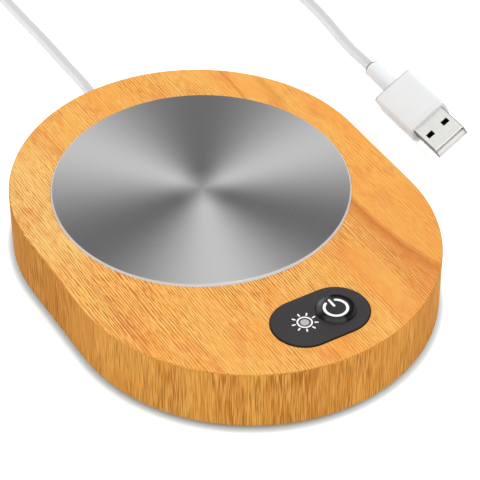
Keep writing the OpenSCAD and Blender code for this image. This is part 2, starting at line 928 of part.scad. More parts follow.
// Local +Y runs along the plug to its tip, and z = 0 is its axis
module at_plug() {
    translate([plug_at[0], plug_at[1], plug_z]) rotate([0, plug_roll, 180]) children();
}

// Carries a flat outline, x across and y up, along the plug from y0 for l
module along_plug(y0, l) {
    translate([0, y0 + l, 0]) rotate([90, 0, 0]) linear_extrude(l) children();
}

module plug_neck() {
    tip_r = cord_d / 2 + 1;
    root_r = tip_r + 0.1;
    flare = 0.5;
    color("white") at_plug() rotate([-90, 0, 0]) rotate_extrude()
        polygon(concat([[0, 0], [tip_r - 0.2, 0], [tip_r, 0.2]],
            [for (a = [0:15:75]) [root_r + flare * (1 - cos(a)), neck_l - 1.8 * (1 - sin(a))]],
            [[root_r + flare, neck_l], [0, neck_l]]));
}

module plug_grip() {
    nose = 1.2;
    color("white") at_plug() difference() {
        union() {
            along_plug(neck_l, grip_l - nose) soft_square([grip_w, grip_t], grip_r);
            along_plug(neck_l + grip_l - nose, nose) soft_square([grip_w - 0.8, grip_t - 0.8], grip_r - 0.4);
        }
        along_plug(neck_l + grip_l - shell_in - snug, shell_in + eps)
            soft_square([shell_w + 2 * snug, shell_t + 2 * snug], 0.6);
    }
}

module plug_shell() {
    latch = [2.5, 2.1, 1];
    latch_x = 3.1;
    latch_y = 5.2;
    tip = neck_l + grip_l + shell_out;
    color("silver") at_plug() difference() {
        along_plug(tip - shell_out - shell_in, shell_out + shell_in) soft_square([shell_w, shell_t], 0.6);
        along_plug(tip - shell_out - shell_in - eps, shell_out + shell_in + 2 * eps)
            soft_square([shell_w - 2 * shell_wall, shell_t - 2 * shell_wall], 0.4);
        for (x = [-1, 1], z = [-1, 1])
            translate([x * latch_x, tip - latch_y - latch[1] / 2, z * shell_t / 2]) cube(latch, center = true);
    }
}

module plug_tongue() {
    inset = 0.6;
    back = neck_l + grip_l - shell_in;
    room = [shell_w - 2 * (shell_wall + snug), shell_t - 2 * shell_wall];
    color([0.17, 0.17, 0.18]) at_plug() {
        along_plug(back, shell_in) soft_square(room, 0.5);
        translate([0, 0, (tongue_t - room[1]) / 2])
            along_plug(back, shell_in + shell_out - inset) soft_square([room[0], tongue_t], 0.5);
    }
}

module plug_contacts() {
    strip = [1.1, 9, 0.25];
    color("gold") at_plug()
        for (x = contact_x)
            translate([x - strip[0] / 2, neck_l + grip_l, -shell_t / 2 + shell_wall + tongue_t]) cube(strip);
}

// ---------- nodes ----------

wood_body();
base_cover();
cover_screws();
foot(0);  // foot_front_left
foot(1);  // foot_front_right
foot(2);  // foot_back_left
foot(3);  // foot_back_right
heating_plate();
plate_gasket();
film_heater();
insulation_pad();
clamp_disc();
clamp_screws();
thermistor();
thermal_fuse();
control_panel();
power_button();
indicator_lens();
control_board();
board_spacers();
board_screws();
switch_housing();
switch_plunger();
switch_legs();
indicator_led();
controller_chip();
power_transistor();
capacitor();
color("ivory") connector_body(-connector_x);  // supply_connector
color("ivory") connector_body(0);  // sensor_connector
color("ivory") connector_body(connector_x);  // heater_connector
color("red") supply_wire(1);  // supply_wire_red
color("black") supply_wire(-1);  // supply_wire_black
color("white") heater_wire(-1);  // heater_wire_left
color("white") heater_wire(1);  // heater_wire_right
color("gold") sensor_wire(-1);  // sensor_wire_left
color("gold") sensor_wire(1);  // sensor_wire_right
cable_gland();
inner_cord();
cord_stop();
cord_lead();
cord_coil();
cord_tail();
coil_tie();
plug_neck();
plug_grip();
plug_shell();
plug_tongue();
plug_contacts();
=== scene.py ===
"""Electric mug warmer: finishes and fine pieces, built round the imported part.

Sizes are in millimetres unless a name says otherwise, and MM turns them into
metres. Colours are written as they look on a screen, from 0 to 255. A window is
a pair of values: a signal rises from 0 at the first to 1 at the second.
"""

import json
import logging
import math
from collections.abc import Callable, Sequence
from dataclasses import KW_ONLY, dataclass, field
from enum import Enum

import bmesh
import bpy
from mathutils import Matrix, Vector


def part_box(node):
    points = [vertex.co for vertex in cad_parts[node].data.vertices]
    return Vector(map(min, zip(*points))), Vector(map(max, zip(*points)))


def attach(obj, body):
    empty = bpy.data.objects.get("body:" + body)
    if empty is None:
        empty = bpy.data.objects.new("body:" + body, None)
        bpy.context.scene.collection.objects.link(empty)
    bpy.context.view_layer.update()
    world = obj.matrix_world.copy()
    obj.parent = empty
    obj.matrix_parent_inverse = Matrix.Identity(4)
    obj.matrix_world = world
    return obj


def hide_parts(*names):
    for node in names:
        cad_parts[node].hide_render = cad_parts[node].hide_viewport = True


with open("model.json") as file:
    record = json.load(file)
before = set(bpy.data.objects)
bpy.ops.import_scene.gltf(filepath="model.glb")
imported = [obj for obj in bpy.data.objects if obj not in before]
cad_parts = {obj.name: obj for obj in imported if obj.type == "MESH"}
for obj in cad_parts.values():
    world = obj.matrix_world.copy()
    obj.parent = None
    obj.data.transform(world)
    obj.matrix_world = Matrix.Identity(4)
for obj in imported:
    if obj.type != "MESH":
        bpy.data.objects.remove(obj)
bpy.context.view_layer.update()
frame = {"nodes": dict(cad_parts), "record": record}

MM = 0.001
ROOT = "root"
BUTTON = "button"

Triple = tuple[float, float, float]
Colour = tuple[float, float, float, float]
Window = tuple[float, float]

logging.basicConfig(level=logging.INFO, format="%(message)s")
log = logging.getLogger("mug_warmer")


def paint(red: float, green: float, blue: float) -> Colour:
    """Turns a colour as it looks on a screen into the light it stands for.

    Args:
        red: Red, from 0 to 255.
        green: Green, from 0 to 255.
        blue: Blue, from 0 to 255.

    Returns:
        The linear colour, with full alpha.
    """
    shares = [channel / 255 for channel in (red, green, blue)]
    knee, slope, lift, power = 0.04045, 12.92, 0.055, 2.4
    light = [
        share / slope if share <= knee else ((share + lift) / (1 + lift)) ** power
        for share in shares
    ]
    return (light[0], light[1], light[2], 1.0)


def grey(level: float) -> Colour:
    """Gives a neutral colour as it looks on a screen, from 0 to 255."""
    return paint(level, level, level)


def low_corner(node: str) -> Vector:
    """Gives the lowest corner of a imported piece, in millimetres."""
    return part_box(node)[0] / MM


def high_corner(node: str) -> Vector:
    """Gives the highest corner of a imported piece, in millimetres."""
    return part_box(node)[1] / MM


def middle_of(node: str) -> Vector:
    """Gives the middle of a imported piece, in millimetres."""
    return (low_corner(node) + high_corner(node)) / 2


def put(name: str, data: bpy.types.ID) -> bpy.types.Object:
    """Puts a new object in the scene, at the origin.

    Args:
        name: The object's name.
        data: Its mesh, curve, camera or lamp.

    Returns:
        The object.
    """
    made = bpy.data.objects.new(name, data)
    bpy.context.scene.collection.objects.link(made)
    return made


class Along(Enum):
    """The axis that a brushed line follows, as a stretch of its pattern."""

    X = (0.06, 1.0, 1.0)
    Y = (1.0, 0.06, 1.0)
    NONE = (1.0, 1.0, 1.0)


class Sheen(Enum):
    """The painted highlight and shade that turn round the cap's shoulder: its upper and
    its lower part.
    """

    DARK = (20, 34)
    RISING = (78, 60)
    LIT = (112, 84)
    FALLING = (80, 78)
    DIP = (28, 34)
    EVEN = (58, 76)
    SOFT = (58, 80)
    REAR = (26, 70)


@dataclass(frozen=True)
class Layer:
    """A layer of soft noise, and how much of it a finish shows.

    Its spots are size wide. It has as many finer layers as detail says, rough is
    their strength, and warp is how far it is bent. A small stretch draws it out
    along an axis. What its window lets through counts up to its share.
    """

    size: float
    detail: float = 2.0
    rough: float = 0.5
    warp: float = 0.0
    window: Window = (0.3, 0.7)
    share: float = 1.0
    stretch: Triple = (1.0, 1.0, 1.0)
    origin: Triple = (0.0, 0.0, 0.0)


# ---------------------------------------------------------------- shaders


class Signal:
    """A value that a node gives, which takes part in plain sums."""

    def __init__(self, shader: "Shader", socket: bpy.types.NodeSocket) -> None:
        """Wraps one output socket of a shader's node."""
        self.shader = shader
        self.socket = socket

    def _sum(self, operation: str, *terms: "Signal | float") -> "Signal":
        """Adds one Math node.

        Args:
            operation: The node's operation.
            *terms: Its inputs, in order.

        Returns:
            The node's result.
        """
        return self.shader.value(
            "ShaderNodeMath", {"operation": operation}, dict(enumerate(terms))
        )

    def __add__(self, other: "Signal | float") -> "Signal":
        """Gives self + other."""
        return self._sum("ADD", self, other)

    __radd__ = __add__

    def __sub__(self, other: "Signal | float") -> "Signal":
        """Gives self - other."""
        return self._sum("SUBTRACT", self, other)

    def __rsub__(self, other: "Signal | float") -> "Signal":
        """Gives other - self."""
        return self._sum("SUBTRACT", other, self)

    def __mul__(self, other: "Signal | float") -> "Signal":
        """Gives self * other."""
        return self._sum("MULTIPLY", self, other)

    __rmul__ = __mul__

    def __truediv__(self, other: "Signal | float") -> "Signal":
        """Gives self / other."""
        return self._sum("DIVIDE", self, other)

    def __pow__(self, other: "Signal | float") -> "Signal":
        """Gives self ** other."""
        return self._sum("POWER", self, other)

    def __abs__(self) -> "Signal":
        """Gives self without its sign."""
        return self._sum("ABSOLUTE", self)

    def sine(self) -> "Signal":
        """Gives the sine of self, in radians."""
        return self._sum("SINE", self)

    def angle(self, across: "Signal") -> "Signal":
        """Gives the angle of the point (across, self), from -pi to pi."""
        return self._sum("ARCTAN2", self, across)

    def most(self, other: "Signal | float") -> "Signal":
        """Gives the larger of self and other."""
        return self._sum("MAXIMUM", self, other)

    def step(self, low: float, high: float) -> "Signal":
        """Rises smoothly from 0 to 1.

        Args:
            low: Where it is 0.
            high: Where it is 1; it falls if this is lower.

        Returns:
            The rise.
        """
        return self.shader.value(
            "ShaderNodeMapRange",
            {"interpolation_type": "SMOOTHSTEP"},
            {
                "Value": self,
                "From Min": min(low, high),
                "From Max": max(low, high),
                "To Min": 0.0 if low < high else 1.0,
                "To Max": 1.0 if low < high else 0.0,
            },
        )

    def past(self, edge: float, soft: float) -> "Signal":
        """Gives 1 past an edge and 0 before it, and is soft that far each side."""
        return self.step(edge - soft, edge + soft)

    def through(self, layer: Layer) -> "Signal":
        """Gives what a layer's window lets through, up to its share."""
        return self.step(*layer.window) * layer.share


Coat = tuple[Signal, Signal | Colour]
Point = tuple[Signal, Signal]


def left_of(*taken: Signal) -> Signal:
    """Gives what is left of 1 when each share is taken from what the last left."""
    return math.prod(1 - share for share in taken)


class Shader:
    """The node tree of a material or a world, with short calls that add nodes."""

    def __init__(self, owner: bpy.types.Material | bpy.types.World) -> None:
        """Starts an empty tree.

        Args:
            owner: The material or world that the tree is for.
        """
        owner.use_nodes = True
        self.owner = owner
        self.tree = owner.node_tree
        self.tree.nodes.clear()

    def node(
        self,
        kind: str,
        settings: dict[str, object] | None = None,
        sockets: dict[str | int, object] | None = None,
    ) -> bpy.types.Node:
        """Adds a node.

        Args:
            kind: The node's type.
            settings: Its properties, set first; stops are a ramp's.
            sockets: Values or signals for its inputs, by name or place.

        Returns:
            The node.
        """
        made = self.tree.nodes.new(kind)
        for name, value in (settings or {}).items():
            if name == "stops":
                self._set_stops(made.color_ramp, value)
            else:
                setattr(made, name, value)
        for name, value in (sockets or {}).items():
            if isinstance(value, Signal):
                self.tree.links.new(value.socket, made.inputs[name])
            else:
                made.inputs[name].default_value = value
        return made

    def value(
        self,
        kind: str,
        settings: dict[str, object] | None = None,
        sockets: dict[str | int, object] | None = None,
        output: str | int = 0,
    ) -> Signal:
        """Adds a node and gives one of its outputs."""
        return Signal(self, self.node(kind, settings, sockets).outputs[output])

    @staticmethod
    def _set_stops(
        ramp: bpy.types.ColorRamp, stops: Sequence[tuple[float, Colour]]
    ) -> None:
        """Gives a ramp its stops, with an eased change between them.

        Args:
            ramp: The new ramp.
            stops: The place from 0 to 1 and the colour of each, in order.
        """
        ramp.interpolation = "EASE"
        while len(ramp.elements) < len(stops):
            ramp.elements.new(0.5)
        for element, (place, colour) in zip(ramp.elements, stops, strict=True):
            element.position = place
            element.color = colour

    def place(
        self, stretch: Triple = (1.0, 1.0, 1.0), centre: Sequence[float] = (0, 0, 0)
    ) -> Signal:
        """Gives the point on the piece in millimetres.

        Args:
            stretch: A factor for each axis; a small one draws a pattern out.
            centre: The point that becomes the origin.

        Returns:
            The point, as a vector.
        """
        return self.value(
            "ShaderNodeMapping",
            {"vector_type": "POINT"},
            {
                "Vector": self.value("ShaderNodeTexCoord", output="Object"),
                "Location": [-c * s for c, s in zip(centre, stretch, strict=True)],
                "Scale": [s / MM for s in stretch],
            },
        )

    def parts(self, vector: Signal) -> list[Signal]:
        """Gives the three numbers of a vector."""
        made = self.node("ShaderNodeSeparateXYZ", None, {0: vector})
        return [Signal(self, socket) for socket in made.outputs]

    def facing(self) -> Signal:
        """Gives how far the surface faces up, from -1 to 1."""
        return self.parts(self.value("ShaderNodeTexCoord", output="Normal"))[2]

    def turned(self, centre: Sequence[float]) -> tuple[Signal, Signal]:
        """Gives the place round a standing axis.

        Args:
            centre: A point of the axis.

        Returns:
            The distance from the axis, and the turn round it from 0 to 1.
        """
        across, along, _ = self.parts(self.place(centre=centre))
        turn = along.angle(across) / math.tau
        next_to_nothing = 1e-6
        below = (turn * -1).step(0, next_to_nothing)
        return (across * across + along * along) ** 0.5, turn + below

    def outside(self, node: str) -> Signal:
        """Gives how far a point lies outside a piece with a racetrack outline.

        Args:
            node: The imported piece, with its long axis along X or Y.

        Returns:
            The level distance from the outline, below 0 inside it.
        """
        size = high_corner(node) - low_corner(node)
        radius = min(size.x, size.y) / 2
        across, along = (
            (abs(place) - (whole / 2 - radius)).most(0.0)
            for place, whole in zip(
                self.parts(self.place(centre=middle_of(node)))[:2], size.xy, strict=True
            )
        )
        return (across * across + along * along) ** 0.5 - radius

    def noise(self, layer: Layer, vector: Signal | None = None) -> Signal:
        """Gives a layer's soft noise, round 0.5.

        Args:
            layer: What the noise is like.
            vector: Where to read it, or None for the place on the piece.

        Returns:
            The noise.
        """
        return self.value(
            "ShaderNodeTexNoise",
            None,
            {
                "Vector": vector or self.place(layer.stretch, layer.origin),
                "Scale": 1 / layer.size,
                "Detail": layer.detail,
                "Roughness": layer.rough,
                "Distortion": layer.warp,
            },
        )

    def shown(self, layer: Layer) -> Signal:
        """Gives what a layer's window lets through, up to its share."""
        return self.noise(layer).through(layer)

    def swing(self, layer: Layer) -> Signal:
        """Gives a layer's noise round 0, as wide as its share."""
        return (self.noise(layer) - 0.5) * layer.share

    def lay(self, tone: Signal | Colour, *coats: Coat) -> Signal:
        """Lays coats of colour over a tone.

        Args:
            tone: What lies under them.
            *coats: The share and the colour of each, from the lowest up.

        Returns:
            The colour that shows.
        """
        for share, colour in coats:
            tone = self.value(
                "ShaderNodeMix",
                {"data_type": "RGBA"},
                {0: share, 6: tone, 7: colour},
                output=2,
            )
        return tone

    def ramp(self, share: Signal, stops: Sequence[tuple[float, Colour]]) -> Signal:
        """Gives the colour that a ramp has at share."""
        return self.value("ShaderNodeValToRGB", {"stops": stops}, {0: share})

    def seen_directly(self) -> Signal:
        """Tells the rays that see a surface from those that carry its light.

        Returns:
            1 to the eye and to reflections, and 0 to the light that bounces.
        """
        rays = self.node("ShaderNodeLightPath")
        seen = Signal(self, rays.outputs["Is Camera Ray"])
        for kind in ("Is Glossy Ray", "Is Transmission Ray"):
            seen = seen.most(Signal(self, rays.outputs[kind]))
        return seen


# ---------------------------------------------------------------- finishes


@dataclass(frozen=True)
class Look:
    """What a finish draws: its colour, its uneven dullness and its relief."""

    colour: Signal
    dullness: Signal | float = 0.5
    height: Signal | float = 0.0
    others: dict[str, object] = field(default_factory=dict)


@dataclass(frozen=True)
class Finish:
    """A material that is built under its own name.

    The roughness varies by unevenness, the relief is that deep, and fixed holds
    the shader's other sockets that are the same all over.
    """

    name: str
    _: KW_ONLY
    roughness: float = 0.45
    unevenness: float = 0.12
    relief: float = 0.02
    relief_strength: float = 0.5
    fixed: dict[str, float | Colour] = field(default_factory=dict)

    def draw(self, shader: Shader) -> Look:
        """Draws the finish on its shader."""
        raise NotImplementedError

    def coats(self, shader: Shader) -> list[Coat]:
        """Gives the coats over the plain colour, of which most finishes have none."""
        return []

    def build(self) -> bpy.types.Material:
        """Makes the material.

        Returns:
            The finished material.
        """
        shader = Shader(bpy.data.materials.new(self.name))
        look = self.draw(shader)
        relief = {
            "Height": look.height,
            "Distance": self.relief * MM,
            "Strength": self.relief_strength,
        }
        sockets = {
            "Base Color": shader.lay(look.colour, *self.coats(shader)),
            "Roughness": self.roughness + self.unevenness * (look.dullness - 0.5),
            "Normal": shader.value("ShaderNodeBump", None, relief),
            **look.others,
            **self.fixed,
        }
        skin = shader.value("ShaderNodeBsdfPrincipled", None, sockets)
        shader.node("ShaderNodeOutputMaterial", None, {"Surface": skin})
        return shader.owner


@dataclass(frozen=True)
class Area:
    """A soft-edged part of the wood, between windows across and along the grain."""

    across: tuple[Window, ...] = ()
    along: tuple[Window, ...] = ()
    share: float = 1.0

    def at(self, point: Point) -> Signal:
        """Tells how far a point lies in the area.

        Args:
            point: Its places across and along the grain.

        Returns:
            The strength, from 0 to the area's share.
        """
        pairs = zip(point, (self.across, self.along), strict=True)
        rises = [place.step(*window) for place, windows in pairs for window in windows]
        return math.prod(rises, start=self.share)


@dataclass(frozen=True)
class Band:
    """A warm band in the grain: a bowed line that is sharp on one side and fades.

    The line runs at x = at_x + bow * (y - bow_y) ** 2. The band fades over reach,
    which is negative where it lies on the low side of the line, and it is full up
    to that share of its reach. It shows between the two values of ends, and fades
    out over soft beyond them.
    """

    at_x: float
    bow: float
    bow_y: float
    reach: float
    strength: float
    ends: Window
    soft: float = 8.0
    full: float = 0.2
    edge: Window = (-0.35, 0.15)

    def at(self, point: Point) -> Signal:
        """Tells how strongly the band shows at a point.

        Args:
            point: Its places across and along the grain.

        Returns:
            The strength, from 0 to the band's own.
        """
        across, along = point
        line = (along - self.bow_y) ** 2 * self.bow + self.at_x
        off = (across - line) * math.copysign(1, self.reach)
        fading = off.step(abs(self.reach), abs(self.reach) * self.full)
        first, last = self.ends
        inside = along.step(first - self.soft, first)
        inside = inside * along.step(last + self.soft, last)
        return off.step(*self.edge) * fading * inside * self.strength


@dataclass(frozen=True)
class LevelGrain:
    """The grain of the level faces: close threads, long lines and warm bands."""

    pale: Colour = paint(255, 212, 130)
    light: Colour = paint(255, 189, 97)
    middle: Colour = paint(255, 173, 81)
    warm: Colour = paint(240, 152, 78)
    band: Colour = paint(216, 126, 58)
    pore: Colour = paint(190, 106, 38)
    figure: Layer = Layer(11, 3, 0.55, 0.5, (0.36, 0.64), stretch=(1, 0.2, 1))
    spots: Layer = Layer(
        6, window=(0.54, 0.68), share=0.6, stretch=(1, 0.6, 1), origin=(0, 33, 0)
    )
    lines: Layer = Layer(
        0.9, 2, 0.6, 0, (0.5, 0.64), 0.3, stretch=(1, 0.04, 1), origin=(55, 0, 0)
    )
    rests: Layer = Layer(
        8, 3, window=(0.58, 0.36), share=0.4, stretch=(1, 0.4, 1), origin=(40, 0, 0)
    )
    pitch: float = 0.82
    sway: Layer = Layer(3.28, 1, share=2.05, stretch=(1, 0.07, 1), origin=(0, 0, 9))
    even_share: float = 0.15
    loose: Layer = Layer(0.205, 1, 0.4, share=0.86, stretch=(1, 0.07, 1))
    pore_window: Window = (0.5, 0.66)
    pore_share: float = 0.8
    gleam_window: Window = (0.5, 0.34)
    gleam_share: float = 0.8
    right: Area = Area(across=((24, 36),))
    hollow: Area = Area(across=((16, 21),), along=((-30, -38),))
    calm_rests: float = 0.6
    calm_lines: float = 0.5
    ends: tuple[Area, ...] = (
        Area(along=((-28, -50),), share=0.3),
        Area(along=((34, 52),), share=0.35),
    )
    sunny: Area = Area(across=((-20, -52),), along=((-15, 15),))
    sunny_rests: float = 0.2
    sunny_share: float = 0.75
    dusk: Area = Area(across=((12, 22),), along=((-14, -32),), share=0.3)
    coarse: Area = Area(across=((27, 31), (41, 37)), along=((-33, -46),))
    coarse_share: float = 0.15
    coarse_dulls: float = 0.45
    bands: tuple[Band, ...] = (
        Band(36.4, 0.0035, -14.4, -5.5, 0.55, (-80, -14)),
        Band(35.6, 0.003, -14.4, -15.0, 0.4, (-60, -18)),
        Band(-49.5, 0.0, 0.0, 5.0, 0.6, (-36, -13)),
        Band(43.5, 0.0, 43.0, -4.0, 0.4, (38, 48)),
        Band(34.2, 0.0, 50.0, -1.2, 0.6, (45, 58)),
    )
    band_sway: Layer = Layer(7, 3, share=2.6, stretch=(0.5, 0.2, 1))
    band_rests: float = 0.35

    def _threads(self, shader: Shader, across: Signal) -> Signal:
        """Gives fine close lines, partly of even pitch and mostly loose.

        Args:
            shader: The wood's shader.
            across: The point's place across the grain.

        Returns:
            The lines' height, mostly from 0.2 to 0.8.
        """
        swayed = across + shader.swing(self.sway)
        even = (swayed * (math.tau / self.pitch)).sine() * self.even_share
        return 0.5 + shader.swing(self.loose) + even

    def draw(self, shader: Shader) -> tuple[Signal, Signal]:
        """Draws the grain.

        Args:
            shader: The wood's shader.

        Returns:
            The colour, and the pores' strength from 0 to 1.
        """
        across, along, _ = shader.parts(shader.place())
        calm, hollow, sunny, dusk, coarse, *ends = (
            area.at((across, along))
            for area in (
                self.right,
                self.hollow,
                self.sunny,
                self.dusk,
                self.coarse,
                *self.ends,
            )
        )
        calm = calm.most(hollow)
        swayed = (across + shader.swing(self.band_sway), along)
        bands = sum(band.at(swayed) for band in self.bands)
        threads = self._threads(shader, across)
        stir = left_of(calm * self.calm_rests, *ends, sunny * self.sunny_rests)
        stir = stir + coarse * (1 - stir)
        busy = stir * left_of(shader.shown(self.rests), bands * self.band_rests)
        pores = threads.step(*self.pore_window) * busy
        gleam = threads.step(*self.gleam_window) * busy
        lines = shader.shown(self.lines) * (1 - calm * self.calm_lines)
        tone = shader.lay(
            self.light,
            (shader.shown(self.figure), self.middle),
            (sunny * self.sunny_share, self.pale),
            (shader.shown(self.spots), self.warm),
            (lines, self.warm),
            (dusk + coarse * self.coarse_share, self.warm),
            (bands, self.band),
            (gleam * (self.gleam_share - coarse * self.coarse_dulls), self.pale),
            (pores * self.pore_share, self.pore),
        )
        return tone, pores


@dataclass(frozen=True)
class UprightGrain:
    """The grain of the standing faces: short threads that run up and down, in tones
    darker than the level grain's, which paint the sides' shade.
    """

    # These tones are darker than the level grain's: they hold the sides' painted shade
    # as well as the wood's colour.
    pale: Colour = paint(250, 186, 100)
    light: Colour = paint(237, 169, 76)
    middle: Colour = paint(227, 156, 65)
    warm: Colour = paint(206, 128, 56)
    deep: Colour = paint(186, 112, 32)
    pore: Colour = paint(144, 84, 20)
    cloud: Layer = Layer(10, 3, 0.55, 0.4, (0.36, 0.64), stretch=(1, 1, 0.35))
    broad: Layer = Layer(
        4.5, window=(0.5, 0.68), share=0.5, stretch=(1, 1, 0.08), origin=(30, 0, 0)
    )
    threads: Layer = Layer(0.19, 1, 0.4, stretch=(1, 1, 0.026))
    pore_window: Window = (0.49, 0.6)
    pore_share: float = 0.7
    gleam_window: Window = (0.49, 0.38)
    gleam_share: float = 0.8
    rests: Layer = Layer(
        11, window=(0.58, 0.4), share=0.38, stretch=(1, 1, 0.4), origin=(0, 70, 0)
    )
    calm: tuple[Area, ...] = (
        Area(across=((-44, -54),), share=0.25),
        Area(across=((-10, 30),), share=0.35),
    )
    # Painted shade on the sides: darker towards the back, towards the right, and in a
    # patch at the front left.
    shade: tuple[Area, ...] = (
        Area(along=((-30, 5),), share=0.6),
        Area(across=((0, 32),), share=0.4),
        Area(across=((-28, -18), (3, -8)), along=((-40, -60),), share=0.3),
    )

    def draw(self, shader: Shader) -> tuple[Signal, Signal]:
        """Draws the grain.

        Args:
            shader: The wood's shader.

        Returns:
            The colour, and the pores' strength from 0 to 1.
        """
        across, along, _ = shader.parts(shader.place())
        calm = (area.at((across, along)) for area in self.calm)
        shade = sum(area.at((across, along)) for area in self.shade)
        busy = left_of(shader.shown(self.rests), *calm)
        threads = shader.noise(self.threads)
        pores = threads.step(*self.pore_window) * busy
        gleam = threads.step(*self.gleam_window) * busy
        tone = shader.lay(
            self.light,
            (shader.shown(self.cloud), self.middle),
            (shader.shown(self.broad), self.warm),
            (shade, self.deep),
            (gleam * self.gleam_share, self.pale),
            (pores * self.pore_share, self.pore),
        )
        return tone, pores


@dataclass(frozen=True)
class HoneyWood(Finish):
    """Oiled honey-coloured wood: long grain on level faces, upright on the sides, whose
    darker tones paint their shade.
    """

    name: str = "honey_wood"
    level: LevelGrain = LevelGrain()
    upright: UprightGrain = UprightGrain()
    level_window: Window = (0.55, 0.85)

    def draw(self, shader: Shader) -> Look:
        """Draws both grains, each on its own faces.

        Args:
            shader: The wood's shader.

        Returns:
            The look, with the pores sunk and dull.
        """
        level, level_pores = self.level.draw(shader)
        upright, upright_pores = self.upright.draw(shader)
        flat = abs(shader.facing()).step(*self.level_window)
        pores = upright_pores + flat * (level_pores - upright_pores)
        return Look(shader.lay(upright, (flat, level)), pores, 1 - pores)


@dataclass(frozen=True)
class SpunMetal(Finish):
    """Spun metal: fine rings, three fans of painted reflection round the centre, and a
    painted highlight on the rim.
    """

    name: str = "spun_plate"
    # The fans are painted reflection: bright and dark tones by angle round a point just
    # off the centre, blending into the hub's mid tone near that point.
    fans_off: tuple[float, float] = (-0.7, -1.4)
    bright: float = 202
    dark: float = 106
    reflection_bright_at: tuple[float, ...] = (0, 122, 247, 360)
    reflection_dark_at: tuple[float, ...] = (62, 188, 303)
    screen_power: float = 2.2
    hub: Colour = grey(157)
    hub_window: Window = (10.0, 0.0)
    hub_share: float = 0.92
    rings: Layer = Layer(0.45, 4, 0.7, share=0.05)
    smears: Layer = Layer(13, 3, 0.6)
    # The rim's pale tone is a painted highlight along the plate's edge; the rim is also
    # less metallic, so that it does not take the gap's shade.
    rim: Colour = grey(226)
    rim_width: float = 0.25
    rim_soft: float = 0.1
    rim_sheen: float = 0.35

    def _painted_reflection_fans(self, shader: Shader, turn: Signal) -> Signal:
        """Gives the three fans of painted reflection.

        Args:
            shader: The plate's shader.
            turn: The turn round the fans' centre, from 0 to 1.

        Returns:
            Their tone.
        """
        tones = [(angle, self.bright / 255) for angle in self.reflection_bright_at]
        tones += [(angle, self.dark / 255) for angle in self.reflection_dark_at]
        stops = [(at / 360, (tone, tone, tone, 1.0)) for at, tone in sorted(tones)]
        return shader.ramp(turn, stops) ** self.screen_power

    def draw(self, shader: Shader) -> Look:
        """Draws the painted reflection fans, the rings and the painted rim highlight.

        Args:
            shader: The plate's shader.

        Returns:
            The look, less metallic at the rim.
        """
        centre = middle_of("heating_plate")
        off_hub, turn = shader.turned(centre + Vector((*self.fans_off, 0)))
        radius, _ = shader.turned(centre)
        spread = shader.value("ShaderNodeCombineXYZ", None, {0: radius})
        rings = shader.noise(self.rings, spread)
        rim_starts = high_corner("heating_plate").x - self.rim_width
        edge = radius.past(rim_starts, self.rim_soft)
        # Painted reflection fans and hub, then the rings, then the painted rim
        # highlight.
        tone = shader.lay(
            self._painted_reflection_fans(shader, turn),
            (off_hub.step(*self.hub_window) * self.hub_share, self.hub),
            (rings.through(self.rings), self.rim),
            (edge, self.rim),
        )
        metallic = {"Metallic": 1 - edge * (1 - self.rim_sheen)}
        return Look(tone, shader.noise(self.smears), rings, metallic)


@dataclass(frozen=True)
class Moulded(Finish):
    """Moulded plastic, rubber or enamel: two near tones and a fine skin."""

    main: Colour
    other: Colour
    grain: float = 0.5
    grain_rough: float = 0.6
    cloud: Layer = Layer(9, 3, 0.55, window=(0.34, 0.66))
    speck_window: Window = (0.55, 0.8)
    speck_share: float = 0.25

    def draw(self, shader: Shader) -> Look:
        """Draws the clouded colour and the skin.

        Args:
            shader: The finish's shader.

        Returns:
            The look.
        """
        skin = shader.noise(Layer(self.grain, rough=self.grain_rough))
        specks = skin.step(*self.speck_window) * self.speck_share
        clouds = (shader.shown(self.cloud), self.other)
        return Look(shader.lay(self.main, clouds, (specks, self.other)), skin, skin)


@dataclass(frozen=True)
class PanelSkin(Moulded):
    """The panel's matt skin, with a dark line of painted shade round its edge, where it
    meets the wood.
    """

    # The line is painted shade along the panel's edge.
    line: Colour = grey(24)
    line_width: float = 0.3
    line_soft: float = 0.1

    def coats(self, shader: Shader) -> list[Coat]:
        """Paints a line of shade along the edge of the racetrack."""
        edge = shader.outside("control_panel").past(-self.line_width, self.line_soft)
        return [(edge, self.line)]


@dataclass(frozen=True)
class CapSkin(Moulded):
    """The button's cap: a level top, and a shoulder whose painted highlight and shade
    turn round it.
    """

    shoulder: Window = (3.7, 4.5)
    flank: Window = (4.8, 5.7)
    # Each row gives the shoulder's painted highlight or shade at an angle, in degrees.
    turns: tuple[tuple[float, Sheen], ...] = (
        (0, Sheen.DARK),
        (68, Sheen.DARK),
        (92, Sheen.RISING),
        (124, Sheen.LIT),
        (157, Sheen.FALLING),
        (191, Sheen.DIP),
        (214, Sheen.EVEN),
        (262, Sheen.SOFT),
        (275, Sheen.DARK),
        (324, Sheen.REAR),
        (360, Sheen.DARK),
    )

    def coats(self, shader: Shader) -> list[Coat]:
        """Paints highlight and shade on the shoulder like soft gloss, lit on one side,
        dark on the other.

        Args:
            shader: The cap's shader.

        Returns:
            The shoulder's coat of painted highlight and shade.
        """
        radius, turn = shader.turned(middle_of("power_button"))
        upper, lower = (
            shader.ramp(
                turn, [(at / 360, grey(sheen.value[part])) for at, sheen in self.turns]
            )
            for part in (0, 1)
        )
        painted_shoulder_light = shader.lay(upper, (radius.step(*self.flank), lower))
        return [(radius.step(*self.shoulder), painted_shoulder_light)]


